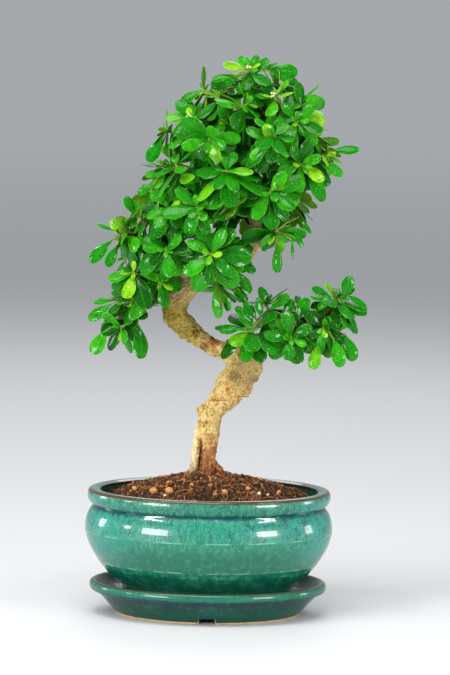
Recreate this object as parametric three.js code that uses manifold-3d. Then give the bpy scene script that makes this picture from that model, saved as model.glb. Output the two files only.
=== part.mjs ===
// Fukien tea bonsai in an oval glazed pot that stands in its own drip saucer.
// Millimetres, +Z up, -Y is the front. Everything is laid out about the pot's vertical axis, and the
// finished group is moved so that its origin is the bottom centre of the whole plant's bounding box.
import * as THREE from "three";
import { mergeVertices } from "three/addons/utils/BufferGeometryUtils.js";
import Module from "manifold-3d";

const wasm = await Module();
wasm.setup();

// Driving dimensions
const OVAL = 0.78; // depth of the pot and the saucer over their width
const GAP = 0.3; // clearance between pieces that rest on or in each other
const RIM_Z = 101.4;
const SAUCER_FLOOR_Z = 16;
const POT_FLOOR_Z = 32;
const OVAL_SEGMENTS = 36;
const DRAIN = { radius: 7, offset: 36 };
const MESH = { side: 22, hole: 6, pitch: 9, thickness: 1.2 };
const SOIL = { edgeZ: 91, mound: 20, rough: 0.9, edgeRadius: 88.9 };
const NOTCH = { saucer: [13, 4.6], pot: [17, 7] }; // width and height of the gaps between the feet
const LEAF = { length: 26, widthShare: 0.5, thickness: 0.7, droop: 0.28 };
const HANG = { top: 0.5, upper: 0.65, middle: 0.65, lower: 0.6, left: 0.5, front: 0.6, right: 0.15 };
const HUB = { length: 5.6, radii: [1.2, 1.3, 0.9], sides: 5 }; // two whorls of five leaves
const TWIG = { rootRadius: 1.3, tipRadius: 1 };
const CLEAR = { leaf: 3, wood: 1.2 }; // least distances from the tested points of a leaf to those of others

const COLOUR = {
  glaze: 0x2e8c74,
  compost: 0x4a2d1b,
  bark: 0xb5975f,
  leaf: 0x1f8a1d,
  drainMesh: 0x20221f,
};

// Outer and inner outline of the pot, [half width, height], from the axis underneath to the axis inside
const POT_PROFILE = [
  [0, 25], [61, 25], [61.5, SAUCER_FLOOR_Z + GAP], [69.5, SAUCER_FLOOR_Z + GAP], [70.5, 25.6], [74.5, 26],
  [82.8, 34.5], [91, 45.5], [97.6, 57.5], [100.2, 70], [98, 81], [93.4, 88],
  [96.8, 90.5], [98.5, 95.5], [97.2, 100.2], [93.5, RIM_Z], [88, 100],
  [90, 88], [93.5, 74], [90, 56], [80, 40], [66, POT_FLOOR_Z], [0, POT_FLOOR_Z],
];
const SAUCER_PROFILE = [
  [0, 7], [66, 7], [66.5, 0], [74.4, 0], [75.2, 1.4], [80.4, 7.2], [86.2, 13.4], [90.8, 18.2],
  [95.2, 20.6], [96.2, 23.6], [94.6, 26], [91.4, 26.4],
  [85.5, 20], [79.5, SAUCER_FLOOR_Z], [0, SAUCER_FLOOR_Z],
];
const SOIL_PROFILE = [
  [0, POT_FLOOR_Z + GAP], [65.4, POT_FLOOR_Z + GAP], [79.2, 40.4], [89.3, 56.2], [92.8, 74], [90.6, 84],
];
const SOIL_RINGS = [1, 0.84, 0.66, 0.48, 0.3]; // shares of the soil's edge radius

// The trunk: [x, y, z, radius]. The thick lower trunk ends in a blunt bend, from which the leader turns back
const LOWER_TRUNK = [
  [-2, 0, 92, 8], [-1.5, 0, 106, 7.6], [-1.2, 0, 118, 7], [-1.2, 0, 131, 7.6], [-1.7, 0, 146, 8.5],
  [0.6, -1, 160, 8.6], [6.4, -2, 171, 9.8], [13.6, -4, 180, 12.2], [19.4, -5.5, 189, 12.8],
  [27.5, -7, 199, 13.3], [31.5, -8, 207, 11], [33, -8, 213, 6],
];
const LEADER = [
  [30, -7, 205, 7], [22, -4, 209, 8.4], [12, 0, 212.6, 7.8], [-3.4, 4, 218.6, 7.1],
  [-18.4, 8, 228.8, 8.4], [-30.4, 9, 242, 10.2], [-26.6, 8, 256, 9.2], [-17, 5, 265, 7.7],
  [-6, 1, 274, 7.1], [9, -3, 281, 7.1], [23, -6, 290, 7.3],
  [31, -7, 303, 7.6], [35, -5, 315, 7.2], [30, -1, 329, 6.3], [23, 2, 343, 5.6], [22, 3, 364, 4.9],
  [25, 2, 384, 4.2], [31, 0, 402, 3.4], [31, 0, 416, 2.6], [28, 0, 429, 1.8],
];
const KNOBS = [ // pruned stubs and swellings: [x, y, z, radius]
  [-7, -3, 165, 5.2], [26, -7, 184, 7.8], [36, -12, 200, 6], [-36, 4, 238, 4.4], [-23, 2, 226, 4.4],
  [38, -6, 300, 3.4], [38, -6, 310, 4],
];
const ROOTS = [ // surface roots, from the trunk's foot down into the soil
  [[-5, -2, 160, 3.8], [-9.5, -3, 148, 3.3], [-11.5, -3, 133, 3], [-13, -4, 121, 3.1], [-17, -7, 113, 3.3],
    [-25, -11, 103, 2.6]],
  [[-2, -5, 117, 4], [0, -13, 109, 3.2], [5, -23, 101, 1.6]],
  [[2, 0, 121, 4.5], [10, -2, 114, 3.6], [21, -7, 106, 2.4]],
  [[-1, 3, 117, 4.4], [2, 13, 109, 3.4], [8, 22, 101, 1.8]],
  [[-5, 3, 116, 4.2], [-15, 10, 108, 3], [-24, 16, 101, 1.6]],
];
const BRANCHES = [ // [x, y, z, radius] from the trunk outwards
  [[28, -6, 208, 3.3], [39, -8, 223, 3], [53, -10, 233, 2.5], [70, -9, 235, 2.1],
    [88, -9, 241, 1.7], [97, -8, 250, 1.4]],
  [[-16, 5, 267, 3.3], [-28, 1, 279, 3], [-38, -5, 286, 2.6], [-48, -9, 278, 2.2],
    [-56, -10, 262, 1.9], [-63, -8, 246, 1.5]],
  [[-36, -4, 285, 2.3], [-48, -11, 300, 2], [-60, -15, 309, 1.5]],
  [[-34, -3, 284, 2.1], [-33, -16, 306, 1.7], [-33, -20, 326, 1.4]],
  [[-30, 1, 281, 2.3], [-45, 8, 280, 1.9], [-58, 10, 284, 1.5]],
  [[24, 2, 337, 3.1], [2, -5, 340, 2.5], [-20, -8, 344, 2], [-38, -8, 350, 1.6]],
  [[22, 3, 362, 2.7], [4, -7, 375, 2.3], [-12, -18, 388, 1.6]],
  [[22, 3, 366, 2.7], [40, -6, 370, 2.3], [64, -10, 372, 1.9], [80, -8, 374, 1.4]],
  [[35, -5, 316, 3], [45, -15, 323, 2.5], [50, -22, 321, 1.8]],
  [[25, 2, 384, 2.4], [42, -8, 393, 2], [58, -14, 404, 1.6], [70, -10, 410, 1.3]],
  [[22, 2, 348, 2.8], [13, -24, 350, 2.3], [8, -46, 352, 1.6]],
  [[19, -5, 292, 2.8], [8, -26, 295, 2.2], [2, -42, 298, 1.6]],
  [[24, 2, 380, 2.2], [14, -18, 392, 1.9], [4, -30, 402, 1.4]],
  [[22, 3, 368, 2.4], [34, -22, 375, 2], [42, -40, 384, 1.5]],
  [[30, -1, 328, 2.8], [0, 24, 322, 2.3], [-22, 36, 326, 1.6]],
  [[34, -4, 318, 2.8], [38, 22, 318, 2.3], [38, 42, 320, 1.6]],
  [[26, 0, 338, 2.8], [38, -24, 341, 2.2], [43, -41, 343, 1.5]],
  [[22, 2, 345, 2.7], [3, -20, 341, 2.1], [-9, -40, 337, 1.5]],
  [[22, 3, 355, 2.6], [12, 28, 352, 2.1], [6, 48, 350, 1.6]],
  [[22, 3, 366, 2.5], [44, 24, 360, 2], [62, 36, 356, 1.5]],
  [[24, 3, 378, 2.3], [6, 24, 384, 1.9], [-8, 32, 388, 1.4]],
  [[27, 2, 390, 2.1], [38, 20, 396, 1.7], [48, 26, 402, 1.3]],
];

// Where each leafy shoot ends, [x, y, z, size], listed by the part of the crown that it belongs to
const SHOOTS = {
  top: [
    [26, -10, 438.5, 0.95], [2, -24, 417, 0.95], [-20, -34, 400, 0.95], [22, -34, 412, 0.95],
    [48, -24, 417, 0.9], [63, -8, 409, 0.9], [-8, 4, 420, 0.95], [45, 2, 427, 0.95],
  ],
  upper: [
    [-36, -16, 390, 1], [-4, -46, 387, 0.95], [46, -48, 389, 1], [73, -12, 391, 0.95], [64, -32, 401, 0.95],
    [-14, 30, 396, 0.95], [22, 40, 402, 0.95], [54, 32, 402, 0.95], [75, 18, 382, 0.95],
  ],
  middle: [
    [9, -60, 361, 1.1], [68, -34, 367, 1.05], [86, -14, 373, 1.05], [-29, -42, 363, 1], [-40, -10, 360, 0.95],
    [44, -54, 345, 1.1], [-8, 50, 366, 1.05], [32, 56, 366, 1.05], [65, 42, 362, 1], [-32, 20, 362, 0.95],
  ],
  lower: [
    [-13, -54, 333, 1.1], [50, -26, 313, 0.95], [-35, -46, 330, 1], [9, -47, 333, 0.9], [-45, 8, 334, 0.95],
    [-26, 44, 332, 1.05], [6, 58, 332, 1.05], [42, 50, 330, 1], [64, 8, 336, 0.95],
  ],
  left: [
    [-55, -28, 317, 0.95], [-71, -21, 307, 0.95], [-62, -26, 277, 0.95], [-71, -16, 254, 1],
    [-71, -20, 234, 1], [-42, -28, 270, 0.9], [-37, -44, 299, 1], [-68, 12, 286, 0.9], [-46, 24, 270, 0.95],
  ],
  front: [[-1, -57, 296, 1.1], [6, -24, 270, 0.95]],
  right: [
    [30, -36, 233, 1.1], [44, -10, 250, 1], [63, -30, 229, 1], [100, -13, 256, 1], [89, -26, 237, 1],
    [88, 8, 232, 0.95], [66, 10, 240, 0.95],
  ],
};

// Placing by rule: a repeatable scatter between 0 and 1
function scatter(...keys) {
  const dotted = keys.reduce((sum, key, i) => sum + key * (12.9898 + 65.2432 * i), 0.5);
  const wild = Math.sin(dotted) * 43758.5453;
  return wild - Math.floor(wild);
}

const vector = ([x, y, z]) => new THREE.Vector3(x, y, z);

// A three.js geometry as a manifold solid, and back
function solidOf(geometry) {
  const bare = geometry.index ? geometry.toNonIndexed() : geometry.clone();
  bare.deleteAttribute("normal");
  bare.deleteAttribute("uv");
  const merged = mergeVertices(bare, 1e-3);
  return new wasm.Manifold(new wasm.Mesh({
    numProp: 3,
    vertProperties: merged.attributes.position.array,
    triVerts: new Uint32Array(merged.index.array),
  }));
}

function geometryOf(solid) {
  const mesh = solid.getMesh();
  const geometry = new THREE.BufferGeometry();
  geometry.setAttribute("position", new THREE.BufferAttribute(mesh.vertProperties, 3));
  geometry.setIndex(new THREE.BufferAttribute(mesh.triVerts, 1));
  const flat = geometry.toNonIndexed();
  flat.computeVertexNormals();
  return flat;
}

const joined = (solids) => wasm.Manifold.union(solids);

// A closed skin over rings of points, capped by a fan at each end
function loft(rings) {
  const sides = rings[0].length;
  const points = rings.flat();
  const faces = [];
  for (let r = 0; r + 1 < rings.length; r++) {
    for (let i = 0; i < sides; i++) {
      const a = r * sides + i;
      const b = r * sides + ((i + 1) % sides);
      faces.push(a, b, a + sides, b, b + sides, a + sides);
    }
  }
  const last = (rings.length - 1) * sides;
  for (let i = 1; i + 1 < sides; i++) {
    faces.push(0, i + 1, i, last, last + i, last + i + 1);
  }
  return new THREE.BufferGeometry().setFromPoints(points).setIndex(faces);
}

// Rings round a path of [x, y, z, radius], turned as little as possible from one to the next
function ringsAlong(path, sides, stepsPerSpan, lumps = 0, grow = 0) {
  const curve = new THREE.CatmullRomCurve3(path.map(vector), false, "centripetal");
  const spans = path.length - 1;
  const side = new THREE.Vector3(0.3, 1, 0.2);
  const rings = [];
  for (let n = 0; n <= spans * stepsPerSpan; n++) {
    const t = n / (spans * stepsPerSpan);
    const span = Math.min(Math.floor(t * spans), spans - 1);
    const share = t * spans - span;
    const radius = path[span][3] * (1 - share) + path[span + 1][3] * share + grow;
    const along = curve.getTangent(t);
    side.addScaledVector(along, -side.dot(along)).normalize();
    const up = new THREE.Vector3().crossVectors(along, side);
    const centre = curve.getPoint(t);
    const ring = [];
    for (let i = 0; i < sides; i++) {
      const turn = (i / sides) * 2 * Math.PI;
      const lump = 1 + lumps * (Math.sin(3 * turn + 1.1 * n) + 0.7 * Math.sin(2 * turn - 1.9 * n));
      ring.push(centre.clone()
        .addScaledVector(side, radius * lump * Math.cos(turn))
        .addScaledVector(up, radius * lump * Math.sin(turn)));
    }
    rings.push(ring);
  }
  return rings;
}

const limb = (path, sides, steps, lumps, grow) => solidOf(loft(ringsAlong(path, sides, steps, lumps, grow)));

function oval(profile) {
  const outline = profile.map(([halfWidth, z]) => new THREE.Vector2(halfWidth, z));
  return new THREE.LatheGeometry(outline, OVAL_SEGMENTS).rotateX(Math.PI / 2).scale(1, OVAL, 1);
}

function block(width, depth, height, x, y, z) {
  return solidOf(new THREE.BoxGeometry(width, depth, height).translate(x, y, z));
}

// Cuts the gaps between the feet out of a foot ring that stands at z
function withFeet(body, z, [width, height]) {
  const across = block(width, 400, height * 2, 0, 0, z);
  const along = block(400, width, height * 2, 0, 0, z);
  return body.subtract(across).subtract(along);
}

function saucer() {
  return withFeet(solidOf(oval(SAUCER_PROFILE)), 0, NOTCH.saucer);
}

function pot() {
  const body = withFeet(solidOf(oval(POT_PROFILE)), SAUCER_FLOOR_Z + GAP, NOTCH.pot);
  const holes = [-1, 1].map((way) => solidOf(
    new THREE.CylinderGeometry(DRAIN.radius, DRAIN.radius, 30, 12)
      .rotateX(Math.PI / 2)
      .translate(way * DRAIN.offset, 0, 28),
  ));
  return body.subtract(joined(holes));
}

// Plastic net over a drainage hole, which keeps the compost in
function drainNet(way) {
  const middle = POT_FLOOR_Z + GAP + MESH.thickness / 2;
  const centre = way * DRAIN.offset;
  const openings = [-0.5, 0.5].flatMap((column) => [-0.5, 0.5].map((row) => block(
    MESH.hole, MESH.hole, 2 * MESH.thickness, centre + column * MESH.pitch, row * MESH.pitch, middle,
  )));
  return block(MESH.side, MESH.side, MESH.thickness, centre, 0, middle).subtract(joined(openings));
}

// Height of the mounded compost at a point
function soilHeight(x, y) {
  const reach = Math.min(Math.hypot(x, y / OVAL) / SOIL.edgeRadius, 1);
  const lumps = Math.sin(x * 0.31 + 1) * Math.cos(y * 0.37) + 0.6 * Math.sin(x * 0.13 - y * 0.21);
  return SOIL.edgeZ + SOIL.mound * (1 - reach * reach) + SOIL.rough * lumps * (1 - reach ** 6);
}

// Bark nuggets and pebbles that lie half sunk on the compost
function nuggets(count) {
  const made = [];
  for (let i = 0; i < count; i++) {
    const turn = 2.39996 * i;
    const reach = 0.28 + 0.58 * Math.sqrt((i + 0.5) / count);
    const x = Math.cos(turn) * reach * SOIL.edgeRadius;
    const y = Math.sin(turn) * reach * SOIL.edgeRadius * OVAL;
    const size = 2.2 + 1.8 * scatter(i, 1);
    made.push(solidOf(
      new THREE.OctahedronGeometry(size)
        .scale(1.3, 1, 0.75)
        .rotateX(scatter(i, 2) * 0.6)
        .rotateZ(scatter(i, 3) * 6)
        .translate(x, y, soilHeight(x, y) + 0.1 * size),
    ));
  }
  return joined(made);
}

function soil(sockets) {
  const top = SOIL_RINGS.map((share) => [share * SOIL.edgeRadius, SOIL.edgeZ]);
  const skin = oval([...SOIL_PROFILE, ...top, [0, SOIL.edgeZ]]);
  const place = skin.attributes.position;
  for (let i = 0; i < place.count; i++) {
    if (place.getZ(i) > SOIL.edgeZ - 0.01) place.setZ(i, soilHeight(place.getX(i), place.getY(i)));
  }
  const side = MESH.side + 2 * GAP;
  const height = 2 * (MESH.thickness + 2 * GAP);
  const recess = (way) => block(side, side, height, way * DRAIN.offset, 0, POT_FLOOR_Z + GAP);
  return solidOf(skin).add(nuggets(18)).subtract(joined([...sockets, recess(-1), recess(1)]));
}

// Every shoot stands at the end of a twig: its hub's foot is the end of a branch drawn on to it, or of a
// twig of its own from the nearest wood
const shoots = Object.entries(SHOOTS)
  .flatMap(([part, ends]) => ends.map((end) => [part, end]))
  .map(([part, [x, y, z, size]], index) => {
    return { index, part, size, hub: new THREE.Vector3(x, y, z), leaves: [] };
  });

function nearestOnWood(target) {
  let best = { distance: Infinity };
  for (const path of [LEADER.slice(12), ...BRANCHES]) {
    for (let i = 0; i + 1 < path.length; i++) {
      const line = new THREE.Line3(vector(path[i]), vector(path[i + 1]));
      const point = line.closestPointToPoint(target, true, new THREE.Vector3());
      const distance = point.distanceTo(target);
      if (distance < best.distance) best = { distance, point };
    }
  }
  return best.point;
}

function growFrom(shoot, root) {
  shoot.root = root;
  shoot.twig = shoot.hub.clone().sub(root).normalize();
  shoot.base = shoot.hub.clone().addScaledVector(shoot.twig, -HUB.length / 2);
  const lean = [8, 9, 10].map((key) => 0.5 * (scatter(shoot.index, key) - 0.5));
  shoot.facing = shoot.twig.clone().add(vector(lean)).add(new THREE.Vector3(0, 0, 0.35)).normalize();
}

const limbs = BRANCHES.map((path) => {
  const end = vector(path.at(-1));
  const free = shoots.filter((shoot) => !shoot.root);
  const next = free.reduce((a, b) => (a.hub.distanceTo(end) < b.hub.distanceTo(end) ? a : b));
  growFrom(next, end);
  next.endsBranch = true;
  return [...path, [...next.base, TWIG.tipRadius]];
});
for (const shoot of shoots.filter((each) => !each.root)) growFrom(shoot, nearestOnWood(shoot.hub));

// Straight stretches of wood that leaves keep clear of
const woodSpans = [LOWER_TRUNK, LEADER, ...BRANCHES].flatMap((path) => path.slice(1).map((end, i) => ({
  from: vector(path[i]), to: vector(end), radius: Math.max(path[i][3], end[3]),
})));
for (const shoot of shoots) {
  const tip = shoot.base.clone().addScaledVector(shoot.twig, HUB.length);
  woodSpans.push({ from: shoot.root, to: tip, radius: TWIG.rootRadius, shoot });
}

// A point of a leaf's upper face: s runs from its foot to its tip, w across it from -1 to 1
function leafPoint({ foot, along, normal, length }, s, w) {
  const across = new THREE.Vector3().crossVectors(along, normal);
  return foot.clone()
    .addScaledVector(along, s * length)
    .addScaledVector(normal, -LEAF.droop * length * s * s)
    .addScaledVector(across, (w * length * LEAF.widthShare) / 2);
}

// A net of points on a leaf, close enough together that nothing can pass between them unseen
function netOf(leaf) {
  const net = [];
  for (const s of [0.16, 0.28, 0.4, 0.52, 0.64, 0.76, 0.88, 1]) {
    for (const w of [-1, -0.5, 0, 0.5, 1]) net.push(leafPoint(leaf, s, w * (s < 0.9 ? 1 : 0.5)));
  }
  return net;
}

function distanceToSpan(point, span) {
  return new THREE.Line3(span.from, span.to)
    .closestPointToPoint(point, true, new THREE.Vector3())
    .distanceTo(point) - span.radius;
}

function crosses(net, other, least) {
  return net.some((a) => other.some((b) => a.distanceToSquared(b) < least * least));
}

// A leaf fits if it stays clear of every leaf placed before it and of all wood but its own hub
function leafFits({ leaf, shoot, net, blade }, placed) {
  const middle = leafPoint(leaf, 0.5, 0);
  for (const span of woodSpans) {
    const own = span.shoot === shoot;
    if (distanceToSpan(middle, span) > leaf.length) continue;
    if (net.slice(own ? 10 : 0).some((point) => distanceToSpan(point, span) < CLEAR.wood)) return false;
  }
  return !placed.some((other) => {
    if (middle.distanceTo(other.middle) > (leaf.length + other.leaf.length) * 0.62) return false;
    if (other.shoot !== shoot) return crosses(net, other.net, CLEAR.leaf);
    return blade.intersect(other.blade).volume() > 0.00001;
  });
}

// The frame of a shoot's rosette: two directions square to the way it faces, turned by its own phase
function frameOf({ index, facing }) {
  const x = new THREE.Vector3(0.31, 0.12, 0.94).cross(facing).normalize();
  x.applyAxisAngle(facing, 6.28 * scatter(index, 7));
  return { x, y: new THREE.Vector3().crossVectors(facing, x) };
}

// The leaf on one facet of a hub; later tries are turned aside, more upright and shorter
function leafTry(shoot, whorl, side, tries) {
  const { index, size, facing, hub, twig } = shoot;
  const frame = frameOf(shoot);
  const swing = 0.13 * Math.ceil(tries / 2) * (tries % 2 ? 1 : -1) * (tries < 7 ? 1 : 0.4);
  const turn = ((side + 0.5) / HUB.sides + whorl * 0.1) * 2 * Math.PI
    + 0.46 * (scatter(index, side, whorl, 1) - 0.5) + swing;
  const spread = (1.32 - 0.55 * whorl + 0.34 * scatter(index, side, whorl, 2)) * (1 - 0.035 * tries);
  const length = LEAF.length * size * (1 - 0.2 * whorl) * (0.8 + 0.36 * scatter(index, side, whorl, 3))
    * (1 - 0.035 * tries);
  const hang = HANG[shoot.part] * (0.3 + 0.9 * scatter(index, side, whorl, 4)) * (1 - 0.3 * whorl);
  const along = facing.clone().multiplyScalar(Math.cos(spread))
    .addScaledVector(frame.x, Math.sin(spread) * Math.cos(turn))
    .addScaledVector(frame.y, Math.sin(spread) * Math.sin(turn))
    .add(new THREE.Vector3(0, 0, -hang))
    .normalize();
  const sky = facing.clone().multiplyScalar(0.9).add(new THREE.Vector3(0, 0, 0.3));
  const normal = sky.addScaledVector(along, -sky.dot(along)).normalize();
  const foot = hub.clone().addScaledVector(twig, HUB.length * (0.45 * whorl - 0.25));
  return { foot, along, normal, length };
}

// Every shoot gets its first leaf, then every shoot its second, and so on
function placeLeaves() {
  const placed = [];
  for (let facet = 0; facet < 2 * HUB.sides; facet++) {
    const whorl = Math.floor(facet / HUB.sides);
    const side = facet % HUB.sides;
    for (const shoot of shoots) {
      for (let tries = 0; tries < 11; tries++) {
        const leaf = leafTry(shoot, whorl, side, tries);
        if (leaf.along.dot(facetNormal(shoot, facet)) < 0.3) continue;
        const middle = leafPoint(leaf, 0.5, 0);
        const candidate = { leaf, shoot, middle, net: netOf(leaf), blade: bladeAlone(shoot, facet, leaf) };
        if (!leafFits(candidate, placed)) continue;
        placed.push(candidate);
        shoot.leaves[facet] = leaf;
        break;
      }
    }
  }
}

// Rings of corners up the hub
function hubCorners(shoot) {
  const { hub, twig } = shoot;
  const frame = frameOf(shoot);
  const flat = frame.x.clone().addScaledVector(twig, -frame.x.dot(twig)).normalize();
  return HUB.radii.flatMap((radius, ring) => {
    const height = HUB.length * (ring / 2 - 0.5) + (ring ? 0 : GAP);
    return Array.from({ length: HUB.sides }, (_, i) => {
      const turn = (i / HUB.sides + ring * 0.05) * 2 * Math.PI;
      const out = flat.clone().applyAxisAngle(twig, turn);
      return hub.clone().addScaledVector(twig, height).addScaledVector(out, radius);
    });
  });
}

// The corners of one facet of the hub: upper two, then lower two, the way round that a blade's rings go
function facetCorners(facet) {
  const low = facet;
  const next = facet - (facet % HUB.sides) + ((facet + 1) % HUB.sides);
  return [next + HUB.sides, low + HUB.sides, low, next];
}

// Which way a facet of a shoot's hub looks
function facetNormal(shoot, facet) {
  const corners = hubCorners(shoot);
  const [a, b, c] = facetCorners(facet).map((corner) => corners[corner]);
  return new THREE.Vector3().crossVectors(b.clone().sub(a), c.clone().sub(a)).normalize();
}

// A blade from four corners out to its widest part and its blunt tip
function addBlade(points, faces, corners, leaf) {
  let inner = corners;
  for (const [s, w] of [[0.6, 1], [0.98, 0.45]]) {
    const first = points.length;
    const upper = [leafPoint(leaf, s, -w), leafPoint(leaf, s, w)];
    const under = upper.map((point) => point.clone().addScaledVector(leaf.normal, -LEAF.thickness));
    points.push(upper[0], upper[1], under[1], under[0]);
    const [a, b, c, d] = inner;
    const [e, f, g, h] = [first, first + 1, first + 2, first + 3];
    faces.push([a, b, e], [b, f, e], [b, c, f], [c, g, f], [c, d, h], [c, h, g], [d, a, h], [a, e, h]);
    inner = [e, f, g, h];
  }
  const [e, f, g, h] = inner;
  faces.push([e, f, g], [e, g, h]);
}

function bladeAlone(shoot, facet, leaf) {
  const corners = hubCorners(shoot);
  const points = facetCorners(facet).map((corner) => corners[corner]);
  const faces = [[0, 2, 1], [0, 3, 2]];
  addBlade(points, faces, [0, 1, 2, 3], leaf);
  return solidOf(new THREE.BufferGeometry().setFromPoints(points).setIndex(faces.flat()));
}

// One closed skin: the hub's ends, and on each facet either a leaf or two triangles
function spray(shoot) {
  const points = hubCorners(shoot);
  const top = 2 * HUB.sides;
  const faces = [];
  for (let i = 1; i < HUB.sides - 1; i++) faces.push([0, i + 1, i], [top, top + i, top + i + 1]);
  for (let facet = 0; facet < 2 * HUB.sides; facet++) {
    const corners = facetCorners(facet);
    if (shoot.leaves[facet]) addBlade(points, faces, corners, shoot.leaves[facet]);
    else faces.push([corners[0], corners[1], corners[2]], [corners[0], corners[2], corners[3]]);
  }
  return solidOf(new THREE.BufferGeometry().setFromPoints(points).setIndex(faces.flat()));
}

placeLeaves();

function wood() {
  const knob = ([x, y, z, radius]) => solidOf(new THREE.IcosahedronGeometry(radius).translate(x, y, z));
  const twigs = shoots.filter((shoot) => !shoot.endsBranch)
    .map(({ root, base }) => limb([[...root, TWIG.rootRadius], [...base, TWIG.tipRadius]], 4, 1));
  return joined([
    limb(LOWER_TRUNK, 10, 1, 0.05),
    limb(LEADER, 8, 1, 0.05),
    ...ROOTS.map((path) => limb(path, 5, 1)),
    ...limbs.map((path) => limb(path, 5, 1)),
    ...KNOBS.map(knob),
    ...twigs,
  ]);
}

function socketsInSoil() {
  return [LOWER_TRUNK.slice(0, 4), ...ROOTS].map((path, i) => limb(path, i ? 5 : 10, 1, i ? 0 : 0.05, 0.45));
}

function finish(colour, roughness) {
  return new THREE.MeshStandardMaterial({ color: colour, roughness, metalness: 0 });
}

const glaze = finish(COLOUR.glaze, 0.12);
const foliage = finish(COLOUR.leaf, 0.35);
const bonsai = new THREE.Group();

function show(name, solid, material) {
  const mesh = new THREE.Mesh(geometryOf(solid), material);
  mesh.name = name;
  bonsai.add(mesh);
}

show("saucer", saucer(), glaze);
show("pot", pot(), glaze);
show("drain_net_left", drainNet(-1), finish(COLOUR.drainMesh, 0.6));
show("drain_net_right", drainNet(1), finish(COLOUR.drainMesh, 0.6));
show("soil", soil(socketsInSoil()), finish(COLOUR.compost, 0.95));
show("trunk_and_branches", wood(), finish(COLOUR.bark, 0.85));
let shown = 0;
for (const [part, ends] of Object.entries(SHOOTS)) {
  ends.forEach((_, n) => {
    show(`spray_${part}_${n + 1}`, spray(shoots[shown]), foliage);
    shown += 1;
  });
}

const centre = new THREE.Box3().setFromObject(bonsai).getCenter(new THREE.Vector3());
bonsai.position.set(-centre.x, -centre.y, 0);

export default bonsai;
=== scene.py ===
"""Looks of the Fukien tea bonsai: leaves, bark, compost, glazed pot and saucer, floor, light and camera."""
from math import asin, ceil, cos, exp, hypot, inf, pi, radians, sin, tau

import bpy
import bmesh
import numpy as np
from mathutils import Matrix, Vector, noise
from numpy.linalg import norm


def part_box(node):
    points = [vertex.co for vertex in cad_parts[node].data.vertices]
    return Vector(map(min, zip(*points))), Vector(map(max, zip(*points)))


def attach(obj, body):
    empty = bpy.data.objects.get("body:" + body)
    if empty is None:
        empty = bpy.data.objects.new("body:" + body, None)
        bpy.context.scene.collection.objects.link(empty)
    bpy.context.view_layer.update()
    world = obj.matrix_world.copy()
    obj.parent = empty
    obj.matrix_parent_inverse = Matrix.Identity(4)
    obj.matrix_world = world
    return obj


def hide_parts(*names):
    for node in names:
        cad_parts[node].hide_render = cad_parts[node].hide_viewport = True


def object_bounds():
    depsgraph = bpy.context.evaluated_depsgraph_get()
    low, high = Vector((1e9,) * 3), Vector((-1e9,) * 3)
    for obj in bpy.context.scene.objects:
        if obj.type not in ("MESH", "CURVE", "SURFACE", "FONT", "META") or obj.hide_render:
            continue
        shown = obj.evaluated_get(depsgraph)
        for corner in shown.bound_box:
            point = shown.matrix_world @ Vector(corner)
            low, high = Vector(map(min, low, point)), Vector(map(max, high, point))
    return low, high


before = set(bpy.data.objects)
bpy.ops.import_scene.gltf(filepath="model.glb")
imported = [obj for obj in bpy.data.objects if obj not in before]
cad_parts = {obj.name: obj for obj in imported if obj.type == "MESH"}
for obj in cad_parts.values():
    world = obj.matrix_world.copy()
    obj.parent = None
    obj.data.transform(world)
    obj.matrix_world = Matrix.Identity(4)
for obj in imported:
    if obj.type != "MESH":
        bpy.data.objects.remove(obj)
cad_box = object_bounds()

# The layout is in millimetres from the pot's axis; MM and ORIGIN bring it into the part's own frame
MM = 0.001
pot_low, pot_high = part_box("pot")
ORIGIN = np.array([(pot_low.x + pot_high.x) / 2, (pot_low.y + pot_high.y) / 2, 0.0])
BOX_LOW = (np.array(cad_box[0]) - ORIGIN) / MM + [0.02, 0.02, 0]
BOX_HIGH = (np.array(cad_box[1]) - ORIGIN) / MM - 0.02
OVAL = 0.78
UP = np.array([0.0, 0.0, 1.0])

# Numbers shared with the solid model
RIM_Z = 101.4
GAP = 0.3
SAUCER_FLOOR_Z = 16
POT_FLOOR_Z = 32
DRAIN = {"radius": 7, "offset": 36}
SOIL = {"edge_z": 91, "mound": 20, "rough": 0.9, "edge_radius": 88.9}
NOTCH = {"saucer": (13, 4.6), "pot": (17, 7)}
LEAF = {"length": 26, "width_share": 0.5, "droop": 0.28, "thickness": 0.36}
HANG = {"top": 0.5, "upper": 0.65, "middle": 0.65, "lower": 0.6, "left": 0.5, "front": 0.6, "right": 0.15}
HUB = {"length": 5.6, "radius": 1.3, "sides": 5}
TWIG = {"root_radius": 1.3, "tip_radius": 1.0}

# Numbers of the finer forms, in millimetres
FOOT_RING = {"inner": 60, "middle": 70, "bare": 78.5, "outer": 79.5}
INNER_WALL = 88.2
TRUNK_FOOT = {"x": -5, "clear": 10}
TRUNK_VOXEL = 0.85
CROWN = {"low": 230, "height": 210, "heart": (22, 18)}
GOLDEN_ANGLE = 2.39996

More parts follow.
